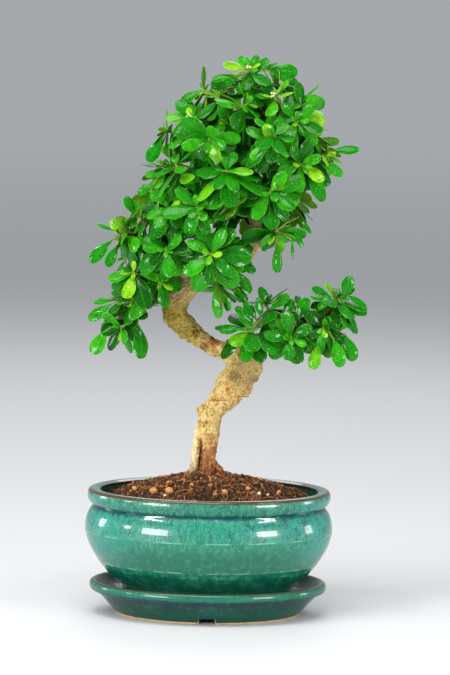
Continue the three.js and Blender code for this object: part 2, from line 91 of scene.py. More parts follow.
# Runs of points of the pot's and the saucer's outline, [half width, height]; each run is one smooth curve
POT_RUNS = [
    [[0, 25], [61, 25]],
    [[61.5, 16.3], [69.5, 16.3]],
    [[70.5, 25.6], [74.5, 26]],
    [[74.5, 26], [82.8, 34.5], [91, 45.5], [97.6, 57.5], [100.2, 70], [98, 81], [93.4, 88]],
    [[93.4, 88], [96.8, 90.5], [98.5, 95.5], [97.2, 100.2], [93.5, RIM_Z], [88, 100]],
    [[88, 100], [90, 88], [93.5, 74], [90, 56], [80, 40], [66, POT_FLOOR_Z]],
    [[66, POT_FLOOR_Z], [0, POT_FLOOR_Z]],
]
SAUCER_RUNS = [
    [[0, 7], [66, 7]],
    [[66.5, 0], [74.4, 0]],
    [[75.2, 1.4], [80.4, 7.2], [86.2, 13.4], [90.8, 18.2]],
    [[90.8, 18.2], [94.6, 18.9], [95.9, 20.8], [96.1, 22.9], [95.4, 25], [93.6, 26.2], [91.4, 26.3],
     [88.6, 23.4], [85.5, 20], [79.5, 16]],
    [[79.5, 16], [0, 16]],
]
SOIL_SIDE = [[0, 34], [65.4, 34], [79.2, 40.4], [89.3, 56.2], [92.8, 74], [90.6, 84]]

# Wood: paths of [x, y, z, radius]
LOWER_TRUNK = [
    [-2, 0, 92, 8], [-1.5, 0, 106, 7.6], [-1.2, 0, 118, 7], [-1.2, 0, 131, 7.6], [-1.7, 0, 146, 8.5],
    [0.6, -1, 160, 8.6], [6.4, -2, 171, 9.8], [13.6, -4, 180, 12.2], [19.4, -5.5, 189, 12.8],
    [27.5, -7, 199, 13.3], [31.5, -8, 207, 11], [33, -8, 213, 6],
]
LEADER = [
    [30, -7, 205, 7], [22, -4, 209, 8.4], [12, 0, 212.6, 7.8], [-3.4, 4, 218.6, 7.1],
    [-18.4, 8, 228.8, 8.4], [-30.4, 9, 242, 10.2], [-26.6, 8, 256, 9.2], [-17, 5, 265, 7.7],
    [-6, 1, 274, 7.1], [9, -3, 281, 7.1], [23, -6, 290, 7.3],
    [31, -7, 303, 7.6], [35, -5, 315, 7.2], [30, -1, 329, 6.3], [23, 2, 343, 5.6], [22, 3, 364, 4.9],
    [25, 2, 384, 4.2], [31, 0, 402, 3.4], [31, 0, 416, 2.6], [28, 0, 429, 1.8],
]
KNOBS = [
    [-7, -3, 165, 5.2], [26, -7, 184, 7.8], [36, -12, 200, 6], [-36, 4, 238, 4.4], [-23, 2, 226, 4.4],
    [38, -6, 300, 3.4], [38, -6, 310, 4],
]
ROOTS = [
    [[-5, -2, 160, 3.8], [-9.5, -3, 148, 3.3], [-11.5, -3, 133, 3], [-13, -4, 121, 3.1], [-17, -7, 113, 3.3],
     [-25, -11, 103, 2.6]],
    [[-2, -5, 117, 4], [0, -13, 109, 3.2], [5, -23, 101, 1.6]],
    [[2, 0, 121, 4.5], [10, -2, 114, 3.6], [21, -7, 106, 2.4]],
    [[-1, 3, 117, 4.4], [2, 13, 109, 3.4], [8, 22, 101, 1.8]],
    [[-5, 3, 116, 4.2], [-15, 10, 108, 3], [-24, 16, 101, 1.6]],
]
BRANCHES = [
    [[28, -6, 208, 3.3], [39, -8, 223, 3], [53, -10, 233, 2.5], [70, -9, 235, 2.1], [88, -9, 241, 1.7],
     [97, -8, 250, 1.4]],
    [[-16, 5, 267, 3.3], [-28, 1, 279, 3], [-38, -5, 286, 2.6], [-48, -9, 278, 2.2], [-56, -10, 262, 1.9],
     [-63, -8, 246, 1.5]],
    [[-36, -4, 285, 2.3], [-48, -11, 300, 2], [-60, -15, 309, 1.5]],
    [[-34, -3, 284, 2.1], [-33, -16, 306, 1.7], [-33, -20, 326, 1.4]],
    [[-30, 1, 281, 2.3], [-45, 8, 280, 1.9], [-58, 10, 284, 1.5]],
    [[24, 2, 337, 3.1], [2, -5, 340, 2.5], [-20, -8, 344, 2], [-38, -8, 350, 1.6]],
    [[22, 3, 362, 2.7], [4, -7, 375, 2.3], [-12, -18, 388, 1.6]],
    [[22, 3, 366, 2.7], [40, -6, 370, 2.3], [64, -10, 372, 1.9], [80, -8, 374, 1.4]],
    [[35, -5, 316, 3], [45, -15, 323, 2.5], [50, -22, 321, 1.8]],
    [[25, 2, 384, 2.4], [42, -8, 393, 2], [58, -14, 404, 1.6], [70, -10, 410, 1.3]],
    [[22, 2, 348, 2.8], [13, -24, 350, 2.3], [8, -46, 352, 1.6]],
    [[19, -5, 292, 2.8], [8, -26, 295, 2.2], [2, -42, 298, 1.6]],
    [[24, 2, 380, 2.2], [14, -18, 392, 1.9], [4, -30, 402, 1.4]],
    [[22, 3, 368, 2.4], [34, -22, 375, 2], [42, -40, 384, 1.5]],
    [[30, -1, 328, 2.8], [0, 24, 322, 2.3], [-22, 36, 326, 1.6]],
    [[34, -4, 318, 2.8], [38, 22, 318, 2.3], [38, 42, 320, 1.6]],
    [[26, 0, 338, 2.8], [38, -24, 341, 2.2], [43, -41, 343, 1.5]],
    [[22, 2, 345, 2.7], [3, -20, 341, 2.1], [-9, -40, 337, 1.5]],
    [[22, 3, 355, 2.6], [12, 28, 352, 2.1], [6, 48, 350, 1.6]],
    [[22, 3, 366, 2.5], [44, 24, 360, 2], [62, 36, 356, 1.5]],
    [[24, 3, 378, 2.3], [6, 24, 384, 1.9], [-8, 32, 388, 1.4]],
    [[27, 2, 390, 2.1], [38, 20, 396, 1.7], [48, 26, 402, 1.3]],
]

# Where each leafy shoot ends, [x, y, z, size], by the part of the crown that it belongs to
SHOOTS = {
    "top": [
        [26, -10, 438.5, 0.95], [2, -24, 417, 0.95], [-20, -34, 400, 0.95], [22, -34, 412, 0.95],
        [48, -24, 417, 0.9], [63, -8, 409, 0.9], [-8, 4, 420, 0.95], [45, 2, 427, 0.95],
    ],
    "upper": [
        [-36, -16, 390, 1], [-4, -46, 387, 0.95], [46, -48, 389, 1], [73, -12, 391, 0.95],
        [64, -32, 401, 0.95], [-14, 30, 396, 0.95], [22, 40, 402, 0.95], [54, 32, 402, 0.95],
        [75, 18, 382, 0.95],
    ],
    "middle": [
        [9, -60, 361, 1.1], [68, -34, 367, 1.05], [86, -14, 373, 1.05], [-29, -42, 363, 1],
        [-40, -10, 360, 0.95], [44, -54, 345, 1.1], [-8, 50, 366, 1.05], [32, 56, 366, 1.05],
        [65, 42, 362, 1], [-32, 20, 362, 0.95],
    ],
    "lower": [
        [-13, -54, 333, 1.1], [50, -26, 313, 0.95], [-35, -46, 330, 1], [9, -47, 333, 0.9],
        [-45, 8, 334, 0.95], [-26, 44, 332, 1.05], [6, 58, 332, 1.05], [42, 50, 330, 1],
        [64, 8, 336, 0.95],
    ],
    "left": [
        [-55, -28, 317, 0.95], [-71, -21, 307, 0.95], [-62, -26, 277, 0.95], [-71, -16, 254, 1],
        [-71, -20, 234, 1], [-42, -28, 270, 0.9], [-37, -44, 299, 1], [-68, 12, 286, 0.9],
        [-46, 24, 270, 0.95],
    ],
    "front": [[-1, -57, 296, 1.1], [6, -24, 270, 0.95]],
    "right": [
        [30, -36, 233, 1.1], [44, -10, 250, 1], [63, -30, 229, 1], [100, -13, 256, 1], [89, -26, 237, 1],
        [88, 8, 232, 0.95], [66, 10, 240, 0.95],
    ],
}


def unit(v):
    return v / norm(v)


def scatter(*keys):
    """A repeatable scatter between 0 and 1, the same as in the solid model."""
    dotted = 0.5 + sum(key * (12.9898 + 65.2432 * i) for i, key in enumerate(keys))
    return sin(dotted) * 43758.5453 % 1


def turned(v, axis, angle):
    c, s = cos(angle), sin(angle)
    return v * c + np.cross(axis, v) * s + axis * np.dot(axis, v) * (1 - c)


def curve_point(points, t):
    """A point of the centripetal curve through points, t from 0 to 1."""
    spans = len(points) - 1
    i = min(int(t * spans), spans - 1)
    w = t * spans - i
    p1, p2 = points[i], points[i + 1]
    p0 = points[i - 1] if i else 2 * points[0] - points[1]
    p3 = points[i + 2] if i + 2 <= spans else 2 * points[-1] - points[-2]
    d0, d1, d2 = (max(norm(b - a), 1e-6) ** 0.5 for a, b in ((p0, p1), (p1, p2), (p2, p3)))
    t1 = ((p1 - p0) / d0 - (p2 - p0) / (d0 + d1) + (p2 - p1) / d1) * d1
    t2 = ((p2 - p1) / d1 - (p3 - p1) / (d1 + d2) + (p3 - p2) / d2) * d1
    return p1 + t1 * w + (-3 * p1 + 3 * p2 - 2 * t1 - t2) * w**2 + (2 * p1 - 2 * p2 + t1 + t2) * w**3


class Heap:
    """Gathers points, faces, material numbers and named values for one mesh."""

    def __init__(self):
        self.points, self.faces, self.marks, self.values, self.count = [], [], [], {}, 0

    def add(self, points, faces, mark=0, **values):
        points = np.asarray(points, float).reshape(-1, 3)
        self.faces += [[i + self.count for i in face] for face in faces]
        self.marks += [mark] * len(faces) if np.isscalar(mark) else list(mark)
        for key, value in values.items():
            self.values.setdefault(key, []).append(np.broadcast_to(value, (len(points),)))
        self.points.append(points)
        self.count += len(points)

    def piece(self, name, materials, slot, sharp=60):
        points = np.clip(np.concatenate(self.points), BOX_LOW, BOX_HIGH)
        mesh = bpy.data.meshes.new(name)
        mesh.from_pydata((points * MM + ORIGIN).tolist(), [], self.faces)
        for material in materials:
            mesh.materials.append(material)
        mesh.polygons.foreach_set("material_index", self.marks)
        for key, parts in self.values.items():
            value = mesh.attributes.new(key, "FLOAT", "POINT")
            value.data.foreach_set("value", np.concatenate(parts).astype(np.float32))
        smooth(mesh, sharp)
        return shown(name, mesh)


def read(items, key):
    """One vector of each of a mesh's points or normals, as rows."""
    flat = np.zeros(len(items) * 3, np.float32)
    items.foreach_get(key, flat)
    return flat.reshape(-1, 3)


def smooth(mesh, sharp):
    mesh.shade_smooth()
    mesh.set_sharp_from_angle(angle=radians(sharp))


def shown(name, mesh):
    piece = bpy.data.objects.new(name, mesh)
    bpy.context.scene.collection.objects.link(piece)
    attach(piece, "root")
    return piece


def path_length(points):
    return sum(norm(b - a) for a, b in zip(points, points[1:]))


def skin_faces(rows, columns, closed):
    """Quads between neighbouring rows of points; closed joins the last column to the first."""
    faces = []
    for r in range(rows - 1):
        for i in range(columns if closed else columns - 1):
            j = (i + 1) % columns
            faces.append([r * columns + i, r * columns + j, (r + 1) * columns + j, (r + 1) * columns + i])
    return faces


def tube(path, sides, steps, lumps=0.0):
    """Points and faces of a closed tube along a path of [x, y, z, radius]."""
    centres = [np.array(p[:3], float) for p in path]
    spans = len(path) - 1
    side = np.array([0.3, 1, 0.2])
    rings = []
    for n in range(spans * steps + 1):
        t = n / (spans * steps)
        span = min(int(t * spans), spans - 1)
        share = t * spans - span
        radius = path[span][3] * (1 - share) + path[span + 1][3] * share
        centre = curve_point(centres, t)
        ahead = unit(curve_point(centres, min(t + 1e-3, 1)) - curve_point(centres, max(t - 1e-3, 0)))
        side = unit(side - ahead * np.dot(side, ahead))
        up = np.cross(ahead, side)
        turn = np.arange(sides)[:, None] / sides * tau
        phase = 1.1 * n / steps
        lump = 1 + lumps * (np.sin(3 * turn + phase) + 0.7 * np.sin(2 * turn - 1.7 * phase))
        rings.append(centre + radius * lump * (side * np.cos(turn) + up * np.sin(turn)))
    faces = skin_faces(len(rings), sides, True)
    last = (len(rings) - 1) * sides
    faces += [list(range(sides))[::-1], list(range(last, last + sides))]
    return np.concatenate(rings), faces


class Wire:
    """An output of a node. Arithmetic on it adds Math nodes, or VectorMath nodes to a vector."""

    def __init__(self, graph, socket):
        self.graph = graph
        self.socket = socket

    def joined(self, operation, other=None):
        vector = self.socket.type == "VECTOR"
        if vector and isinstance(other, (int, float)):
            other = (other,) * 3
        return self.graph.out("VectorMath" if vector else "Math", self, other, operation=operation)

    def __add__(self, other):
        return self.joined("ADD", other)

    def __sub__(self, other):
        return self.joined("SUBTRACT", other)

    def __mul__(self, other):
        return self.joined("MULTIPLY", other)

    def __truediv__(self, other):
        return self.joined("DIVIDE", other)

    def __abs__(self):
        return self.joined("ABSOLUTE")


class Graph:
    """A Principled material built from nodes. Lengths are millimetres from the pot's axis."""

    def __init__(self, name, **settings):
        self.material = bpy.data.materials.new(name)
        self.material.use_nodes = True
        self.tree = self.material.node_tree
        self.shader = self.tree.nodes["Principled BSDF"].inputs
        self.base = None
        for key, value in settings.items():
            self.shader[key.replace("_", " ")].default_value = value

    def feed(self, socket, value):
        if isinstance(value, Wire):
            self.tree.links.new(value.socket, socket)
        elif socket.type == "RGBA":
            socket.default_value = (*value, 1)
        else:
            socket.default_value = value

    def out(self, kind, *inputs, output=0, named=None, **settings):
        """Adds a node and gives one of its outputs. An input of None stays as it is."""
        made = self.tree.nodes.new("ShaderNode" + kind)
        for key, value in settings.items():
            setattr(made, key, value)
        for key, value in [*enumerate(inputs), *(named or {}).items()]:
            if value is not None:
                self.feed(made.inputs[key], value)
        return Wire(self, made.outputs[output])

    def place(self):
        """The surface point in millimetres from the pot's axis."""
        return self.out("TexCoord", output="Object") * 1000 + tuple(-ORIGIN * 1000)

    def axes(self, vector):
        return [self.out("SeparateXYZ", vector, output=axis) for axis in "XYZ"]

    def vector(self, *parts):
        return self.out("CombineXYZ", *parts)

    def length(self, vector):
        return self.out("VectorMath", vector, operation="LENGTH", output="Value")

    def math(self, operation, *values):
        return self.out("Math", *values, operation=operation)

    def hypot(self, a, b):
        return self.math("SQRT", a * a + b * b)

    def ramp(self, value, low, high, low_to=0.0, high_to=1.0):
        return self.out("MapRange", value, low, high, low_to, high_to, interpolation_type="SMOOTHSTEP")

    def rise(self, value, level, soft):
        """0 below the level and 1 above it, with a soft step."""
        return self.ramp(value, level - soft, level + soft)

    def between(self, value, low, high, soft):
        """1 where value lies between low and high, with soft edges."""
        return self.rise(value, low, soft) * self.ramp(value, high - soft, high + soft, 1, 0)

    def noise(self, vector, scale, detail=3.0, rough=0.55):
        named = {"Vector": vector, "Scale": scale, "Detail": detail, "Roughness": rough}
        return self.out("TexNoise", named=named)

    def cells(self, vector, scale, feature="F1"):
        named = {"Vector": vector, "Scale": scale}
        return self.out("TexVoronoi", feature=feature, output="Distance", named=named)

    def value(self, name):
        return self.out("Attribute", attribute_name=name, output="Fac")

    def mix(self, share, a, b):
        return self.out("Mix", data_type="RGBA", output=2, named={0: share, 6: a, 7: b})

    def coat(self, share, first, second):
        """Starts the colour with two screen colours, mixed by share."""
        self.base = self.mix(share, rgb(*first), rgb(*second))

    def paint(self, share, *colour):
        """Lays a screen colour over what is there, by its share."""
        self.base = self.mix(share, self.base, rgb(*colour))

    def finished(self, height=None, depth=0.0, strength=1.0, rough=None):
        """The material, with its colour and a bump that is depth millimetres high."""
        self.feed(self.shader["Base Color"], self.base)
        if rough is not None:
            self.feed(self.shader["Roughness"], rough)
        if height is not None:
            bump = self.out("Bump", named={"Height": height, "Distance": depth * MM, "Strength": strength})
            self.feed(self.shader["Normal"], bump)
        return self.material


def rgb(red, green, blue):
    """A colour as it looks on a screen, 0 to 255, turned linear for the shader."""
    parts = (c / 255 for c in (red, green, blue))
    return tuple(c / 12.92 if c <= 0.04045 else ((c + 0.055) / 1.055) ** 2.4 for c in parts)


def glaze(name, shades, pool, brown_lines, inner, vein_from, mottle, shine, ridge_highlights=()):
    """Mottled green stoneware glaze.

    shades are [height, softness, colour] from the foot up, pool is the [bottom, top, colour, strength] of the
    dark glaze that gathered under the lip, brown_lines are [distance from the axis, height, width], and
    the ridge lines are the [height, strength] of painted highlights: pale lines along the shallow ridges.
    """
    g = Graph(
        name, IOR=1.5, Roughness=0.24, Specular_IOR_Level=0.6 * shine,
        Coat_Weight=shine, Coat_Roughness=0.035, Coat_IOR=1.5,
    )
    at = g.place()
    x, y, z = g.axes(at)
    y = y / OVAL
    rho = g.hypot(x, y)
    safe = g.math("DIVIDE", 100, g.math("MAXIMUM", rho, 1))
    ring = g.vector(x * safe, y * safe, z)
    cloud = g.noise(at, 0.05, 4)
    blotch = g.noise(at, 0.2, 5, 0.65)
    speck = g.noise(at, 0.75, 3, 0.7)
    grit = g.noise(at, 1.9, 2, 0.6)
    wander = g.noise(ring, 0.11, 3) - 0.5
    height = z + (blotch - 0.5) * 9.0

    g.base = rgb(*shades[0][2])
    for level, soft, colour in shades[1:]:
        g.paint(g.rise(height, level, soft), *colour)
    upper = g.rise(height, vein_from, 5)
    g.paint(g.ramp(abs(x), 50, 95, 0, 0.55) * g.ramp(z, 35, 60), 22, 146, 140)
    g.paint(g.ramp(cloud, 0.35, 0.65, 0, 0.35), 6, 92, 74)

    # Leaf-green islands between dark seams that run down the wall, and a finer net of crackle
    warp = g.vector(wander, wander, wander) * 12 + ring
    ripple = g.noise(ring, 0.4, 3, 0.6)
    bent = g.vector(ripple, ripple, 0) * 5 + warp
    streaks = g.noise(bent * (1, 1, 0.36), 0.36, 5, 0.68)
    islands = g.ramp(streaks, 0.44, 0.58) * g.ramp(cloud, 0.3, 0.55, 0.45, 1)
    g.paint(islands * g.ramp(upper, 0, 1, 0.0, mottle * 0.55), 68, 154, 108)
    g.paint(g.ramp(blotch, 0.5, 0.66) * g.ramp(upper, 0, 1, mottle * 0.4, 0), 58, 146, 96)
    seams = g.cells(bent * (1, 1, 0.16), 0.2, "DISTANCE_TO_EDGE")
    net = g.cells(bent * (1, 1, 0.55), 0.38, "DISTANCE_TO_EDGE")
    broken = g.ramp(g.noise(warp, 0.12, 3, 0.6), 0.36, 0.52)
    fade = g.ramp(height, vein_from - 2, vein_from + 14)
    seam_share = g.ramp(seams, 0.0, 0.08, 0.9, 0) * (broken * fade)
    net_share = g.ramp(net, 0.0, 0.14, 0.75, 0) * g.ramp(blotch, 0.34, 0.56, 0.3, 1)
    g.paint(net_share * g.ramp(upper, 0, 1, 0.25 * mottle, mottle), 4, 92, 84)
    g.paint(seam_share, 2, 60, 70)
    g.paint(g.ramp(grit, 0.34, 0.46, 0.3 * mottle, 0), 2, 74, 58)
    g.paint(g.ramp(speck, 0.6, 0.7, 0, 0.6 * mottle) * g.ramp(upper, 0, 1, 1, 0.4), 96, 154, 74)
    pale = g.ramp(g.noise(at, 0.1, 3, 0.6), 0.46, 0.62, 0, 0.4 * mottle) * g.between(z, 24, 41, 4)
    g.paint(pale, 70, 160, 122)
    dark = g.ramp(g.noise(at, 0.07, 4, 0.6), 0.5, 0.64) * g.between(z, 24, 42, 4)
    g.paint(dark * (0.5 * mottle), 0, 60, 50)
    # Painted highlight: a broken pale line along each shallow ridge, where light would catch it
    for level, most in ridge_highlights:
        thin = g.between(z + wander * 0.6, level - 0.2, level + 0.35, 0.3)
        g.paint(thin * g.ramp(g.noise(ring, 0.05, 3), 0.46, 0.6, 0.0, most), 150, 214, 190)

    # The dark pool under the lip, and brown lines where the glaze ran thin
    low, high, colour, most = pool
    drops = z + wander * 3.4 + g.ramp(g.noise(ring, 0.26, 2), 0.55, 0.7) * 2.2
    under_lip = g.rise(drops, low, 0.9) * g.ramp(z, high - 0.6, high + 0.6, 1, 0)
    outside = g.ramp(rho, inner + 0.5, inner + 1.5)
    g.paint(under_lip * outside * g.ramp(g.noise(ring, 0.1, 3), 0.34, 0.5, 0.35, most), *colour)
    for line_rho, line_z, width in brown_lines:
        far = g.hypot(rho - line_rho, z - line_z) + wander * 1.2
        g.paint(g.ramp(far, width * 0.5, width, 0.95, 0), 74, 42, 14)
    g.paint(g.ramp(rho, inner, inner - 2, 0, 0.7), 10, 66, 50)
    return g.finished(g.ramp(seams, 0, 0.12) + cloud * 1.5, 0.14, 0.5)


def grained(name, roughness, grain, soft, colours, depth, stain=None):
    """A matt material between two screen colours by its own fine grain, in places stained with a third."""
    g = Graph(name, Roughness=roughness)
    at = g.place()
    fine = g.noise(at, *grain)
    g.coat(g.ramp(fine, 0.5 - soft, 0.5 + soft), *colours)
    if stain:
        scale, full, colour = stain
        g.paint(g.ramp(g.noise(at, scale, 2), 0.5, full, 0, 0.5), *colour)
    return g.finished(fine, depth)


def bare_clay():
    colours = (176, 138, 98), (214, 182, 140)
    return grained("bare_clay", 0.8, (1.4, 5, 0.7), 0.2, colours, 0.3, (0.15, 0.7, (134, 96, 66)))


def twig_bark():
    colours = (92, 50, 30), (150, 98, 60)
    return grained("twig_bark", 0.7, (0.8, 4, 0.65), 0.15, colours, 0.5, (0.2, 0.65, (86, 100, 40)))


def perlite():
    return grained("perlite", 0.8, (1.5, 4, 0.7), 0.15, ((190, 168, 124), (240, 222, 184)), 0.6)


def net_plastic():
    return grained("net_plastic", 0.55, (0.9, 3), 0.15, ((26, 28, 26), (44, 46, 42)), 0.2)


def leaf_top():
    """Glossy upper side: thin pale midrib and margins, faint side veins, a shade of its own for each leaf."""
    g = Graph(
        "leaf_upper", IOR=1.4, Specular_IOR_Level=0.05, Coat_Weight=0.32, Coat_Roughness=0.08, Coat_IOR=1.45,
    )
    at = g.place()
    tone, s, w = g.value("tone"), g.value("leaf_s"), g.value("leaf_w")
    wide = abs(w)
    blotch = g.noise(at, 0.16, 3)
    fine = g.noise(at, 1.1, 3)
    g.coat(g.ramp(tone, 0.0, 0.42), (0, 66, 0), (8, 122, 0))
    g.paint(g.ramp(tone, 0.4, 0.75), 50, 162, 4)
    g.paint(g.ramp(tone, 0.75, 1.0), 140, 200, 20)
    g.paint(g.ramp(blotch, 0.35, 0.7, 0, 0.55), 0, 78, 2)
    g.paint(g.ramp(fine, 0.38, 0.6, 0.4, 0), 0, 84, 6)
    # Short pale hairs show as fine pale specks; their brightness is partly painted highlight, for the glints
    # where the hairs catch the light
    hair_specks_and_glints = g.ramp(g.noise(at, 0.95, 2, 0.9), 0.6, 0.68, 0, 0.75)
    g.paint(hair_specks_and_glints * g.ramp(g.noise(at, 0.08, 3), 0.4, 0.6, 0.2, 1), 150, 220, 96)
    # Side veins leave the midrib forwards
    wave = abs(g.math("SINE", (s - wide * 0.16) * 25))
    side = g.ramp(wave, 0.0, 0.16, 1, 0) * g.ramp(wide, 0.9, 0.6)
    g.paint(side * 0.1, 84, 176, 30)
    g.paint(g.ramp(wide, 0.03, 0.07, 0.14, 0), 110, 186, 50)
    g.paint(g.ramp(wide, 0.93, 1.0) * g.ramp(fine, 0.3, 0.6, 0.15, 0.5), 128, 196, 50)
    return g.finished(fine - side * 0.8, 0.36, 0.9, rough=g.ramp(fine, 0.3, 0.7, 0.3, 0.46))


def leaf_under():
    g = Graph("leaf_underside", Roughness=0.6, Specular_IOR_Level=0.2)
    tone, w = g.value("tone"), g.value("leaf_w")
    wide = abs(w)
    fine = g.noise(g.place(), 0.8, 3)
    g.coat(tone, (42, 124, 12), (132, 190, 36))
    g.paint(g.ramp(wide, 0.04, 0.1, 0.6, 0), 140, 190, 80)
    g.paint(g.ramp(fine, 0.4, 0.7, 0, 0.4), 60, 140, 36)
    return g.finished(fine, 0.2, 0.5)


def bud():
    """Tiny buds and leaf bases at the middle of each rosette."""
    g = Graph("bud", Roughness=0.5)
    fine = g.noise(g.place(), 1.2, 3)
    g.coat(g.ramp(fine, 0.35, 0.65), (96, 118, 40), (168, 140, 74))
    g.paint(g.ramp(g.value("tone"), 0.8, 1.0), 226, 208, 160)
    return g.finished(fine, 0.3)


# Scars and old cuts on the bark: centre, half sizes and colour
SCARS = [
    [(5, -10, 174.5), (10, 9, 1.1), (150, 44, 8)], [(13, -14, 184), (2, 9, 2.2), (170, 52, 14)],
    [(23, -14, 178), (6.5, 9, 1.3), (168, 66, 18)], [(1, -2, 222), (4.5, 12, 8), (176, 44, 2)],
    [(-6, 0, 217), (4.5, 12, 6), (98, 36, 8)], [(-13, 0, 227), (4, 12, 4), (84, 62, 24)],
    [(19, -14, 195), (5.5, 12, 5.5), (76, 66, 34)], [(-33, 2, 240), (4.5, 12, 4.5), (84, 70, 28)],
    [(-33, 2, 240), (2, 12, 2), (176, 150, 84)],
]


def bark():
    """Tan bark with pale ridges, lichen, red scars and a dark, damp foot; the top is painted pale for light,
    and the slit beside the left strand has painted shade.
    """
    g = Graph("bark", Roughness=0.85, IOR=1.4, Specular_IOR_Level=0.1)
    at = g.place()
    x, y, z = g.axes(at)
    wide = g.noise(at, 0.07, 4)
    blotch = g.noise(at, 0.2, 5, 0.65)
    fine = g.noise(at, 1.3, 3, 0.7)
    knots = g.noise(at, 0.42, 4, 0.65)
    grain = g.noise(at * (1, 1, 0.5), 0.8, 4, 0.7)
    g.coat(g.ramp(blotch, 0.38, 0.62), (196, 154, 80), (248, 214, 134))
    g.paint(g.ramp(grain, 0.48, 0.66, 0, 0.7), 255, 240, 184)
    # Painted light: the upper trunk, from about 262 mm up, is painted pale cream so that it looks lit in the
    # shade of the crown
    g.paint(g.ramp(z + blotch * 20, 262, 276), 250, 220, 156)
    g.paint(g.ramp(grain, 0.34, 0.46, 0.35, 0), 140, 104, 48)
    g.paint(g.ramp(fine, 0.3, 0.44, 0.2, 0), 96, 68, 30)
    # Olive and grey lichen on the left bend and on the thick block below it
    bend = g.between(z, 217, 252, 6) * g.ramp(x, -6, -14)
    block = g.between(z, 186, 214, 5) * g.ramp(x, 12, 22)
    patch = g.ramp(wide, 0.34, 0.5, 0.6, 1) * g.ramp(blotch, 0.4, 0.58, 0.3, 1)
    g.paint(bend * patch * 0.85, 176, 158, 44)
    g.paint(block * patch * 0.8, 150, 136, 86)
    g.paint(g.ramp(g.noise(at, 0.42, 3, 0.7), 0.56, 0.66) * g.math("MAXIMUM", bend, block) * 0.8, 70, 54, 22)
    g.paint(g.ramp(knots, 0.34, 0.48, 0.6, 0), 104, 74, 28)
    warp = (g.noise(at, 0.3, 3) - 0.5) * 4
    shifted = at + g.vector(warp, warp, warp)
    for centre, half, colour in SCARS:
        far = g.length((shifted - centre) * tuple(1 / h for h in half))
        g.paint(g.ramp(far, 0.5, 1.2, 0.85, 0) * g.ramp(grain, 0.36, 0.6, 1, 0.55), *colour)
    # Dark splits and damp, stained wood just above the compost, and a painted shadow in the slit beside the
    # left strand
    foot = g.ramp(z + (blotch - 0.5) * 30, 130, 152, 1, 0)
    split = g.noise(at * (1, 1, 0.1), 0.5, 3, 0.6)
    g.paint(g.ramp(split, 0.42, 0.48, 0.95, 0) * foot, 62, 32, 16)
    strand = g.ramp(x, -9.5, -7)
    pale = g.ramp(x, -12, -9.5, 1, 0) * g.between(z, 116, 158, 4)
    g.paint(pale * g.ramp(fine, 0.3, 0.45, 0.5, 0.9), 255, 236, 180)
    g.paint(g.ramp(split, 0.44, 0.56, 0.35, 0.9) * (foot * strand), 176, 100, 62)
    # Painted shadow: a dark line in the slit between the left strand and the trunk
    slit_shadow = g.between(z * -0.085 + (x + 12.6), -7.1, -5.7, 0.6)
    g.paint(slit_shadow * foot * 0.8, 44, 24, 14)
    damp = z + (blotch - 0.5) * 22
    g.paint(g.ramp(damp, 112, 128, 0.85, 0), 118, 64, 38)
    g.paint(g.ramp(damp, 106, 114, 0.9, 0), 70, 36, 18)
    return g.finished(knots * 3.0 + (grain * 0.7 + fine * 0.15), 1.7)


def compost():
    g = Graph("compost", Roughness=0.95, IOR=1.35)
    at = g.place()
    crumb = g.noise(at, 0.42, 5, 0.7)
    fine = g.noise(at, 1.8, 4, 0.7)
    grains = g.cells(at, 0.55)
    g.coat(g.ramp(crumb, 0.3, 0.7), (24, 12, 6), (84, 46, 24))
    g.paint(g.ramp(grains, 0.2, 0.7, 0, 0.5), 20, 11, 7)
    g.paint(g.ramp(fine, 0.62, 0.74, 0, 0.7), 150, 96, 56)
    return g.finished(crumb + fine * 0.4, 1.6)


def chips():
    """Bark chips and crumbs, dark brown to orange tan by their own tone."""
    g = Graph("bark_chips", Roughness=0.88)
    at = g.place()
    tone = g.value("tone")
    fine = g.noise(at, 1.2, 4, 0.7)
    g.coat(g.ramp(tone, 0.05, 0.5), (22, 8, 0), (114, 64, 26))
    g.paint(g.ramp(tone, 0.55, 0.9), 220, 158, 84)
    g.paint(g.ramp(fine, 0.35, 0.62, 0.55, 0), 66, 32, 14)
    return g.finished(fine, 0.5)


def pale_floor():
    """Plain floor, a little paler far away, where less lamplight falls."""
    g = Graph("pale_floor", Roughness=0.6, Specular_IOR_Level=0.2)
    far = g.length(g.place())
    g.base = g.mix(g.ramp(far, 500, 9000), (0.6, 0.605, 0.61), (0.86, 0.865, 0.87))
    return g.finished()


def smooth_run(run):
    """Points along the curve through a run of the outline, 1 mm apart, or 6 mm on a straight run."""
    points = [np.array([r, z, 0.0]) for r, z in run]
    if len(points) == 2:
        count = max(2, int(norm(points[1] - points[0]) / 6))
        return [points[0] + (points[1] - points[0]) * i / count for i in range(count + 1)]
    count = max(4, int(path_length(points)))
    return [curve_point(points, i / count) for i in range(count + 1)]


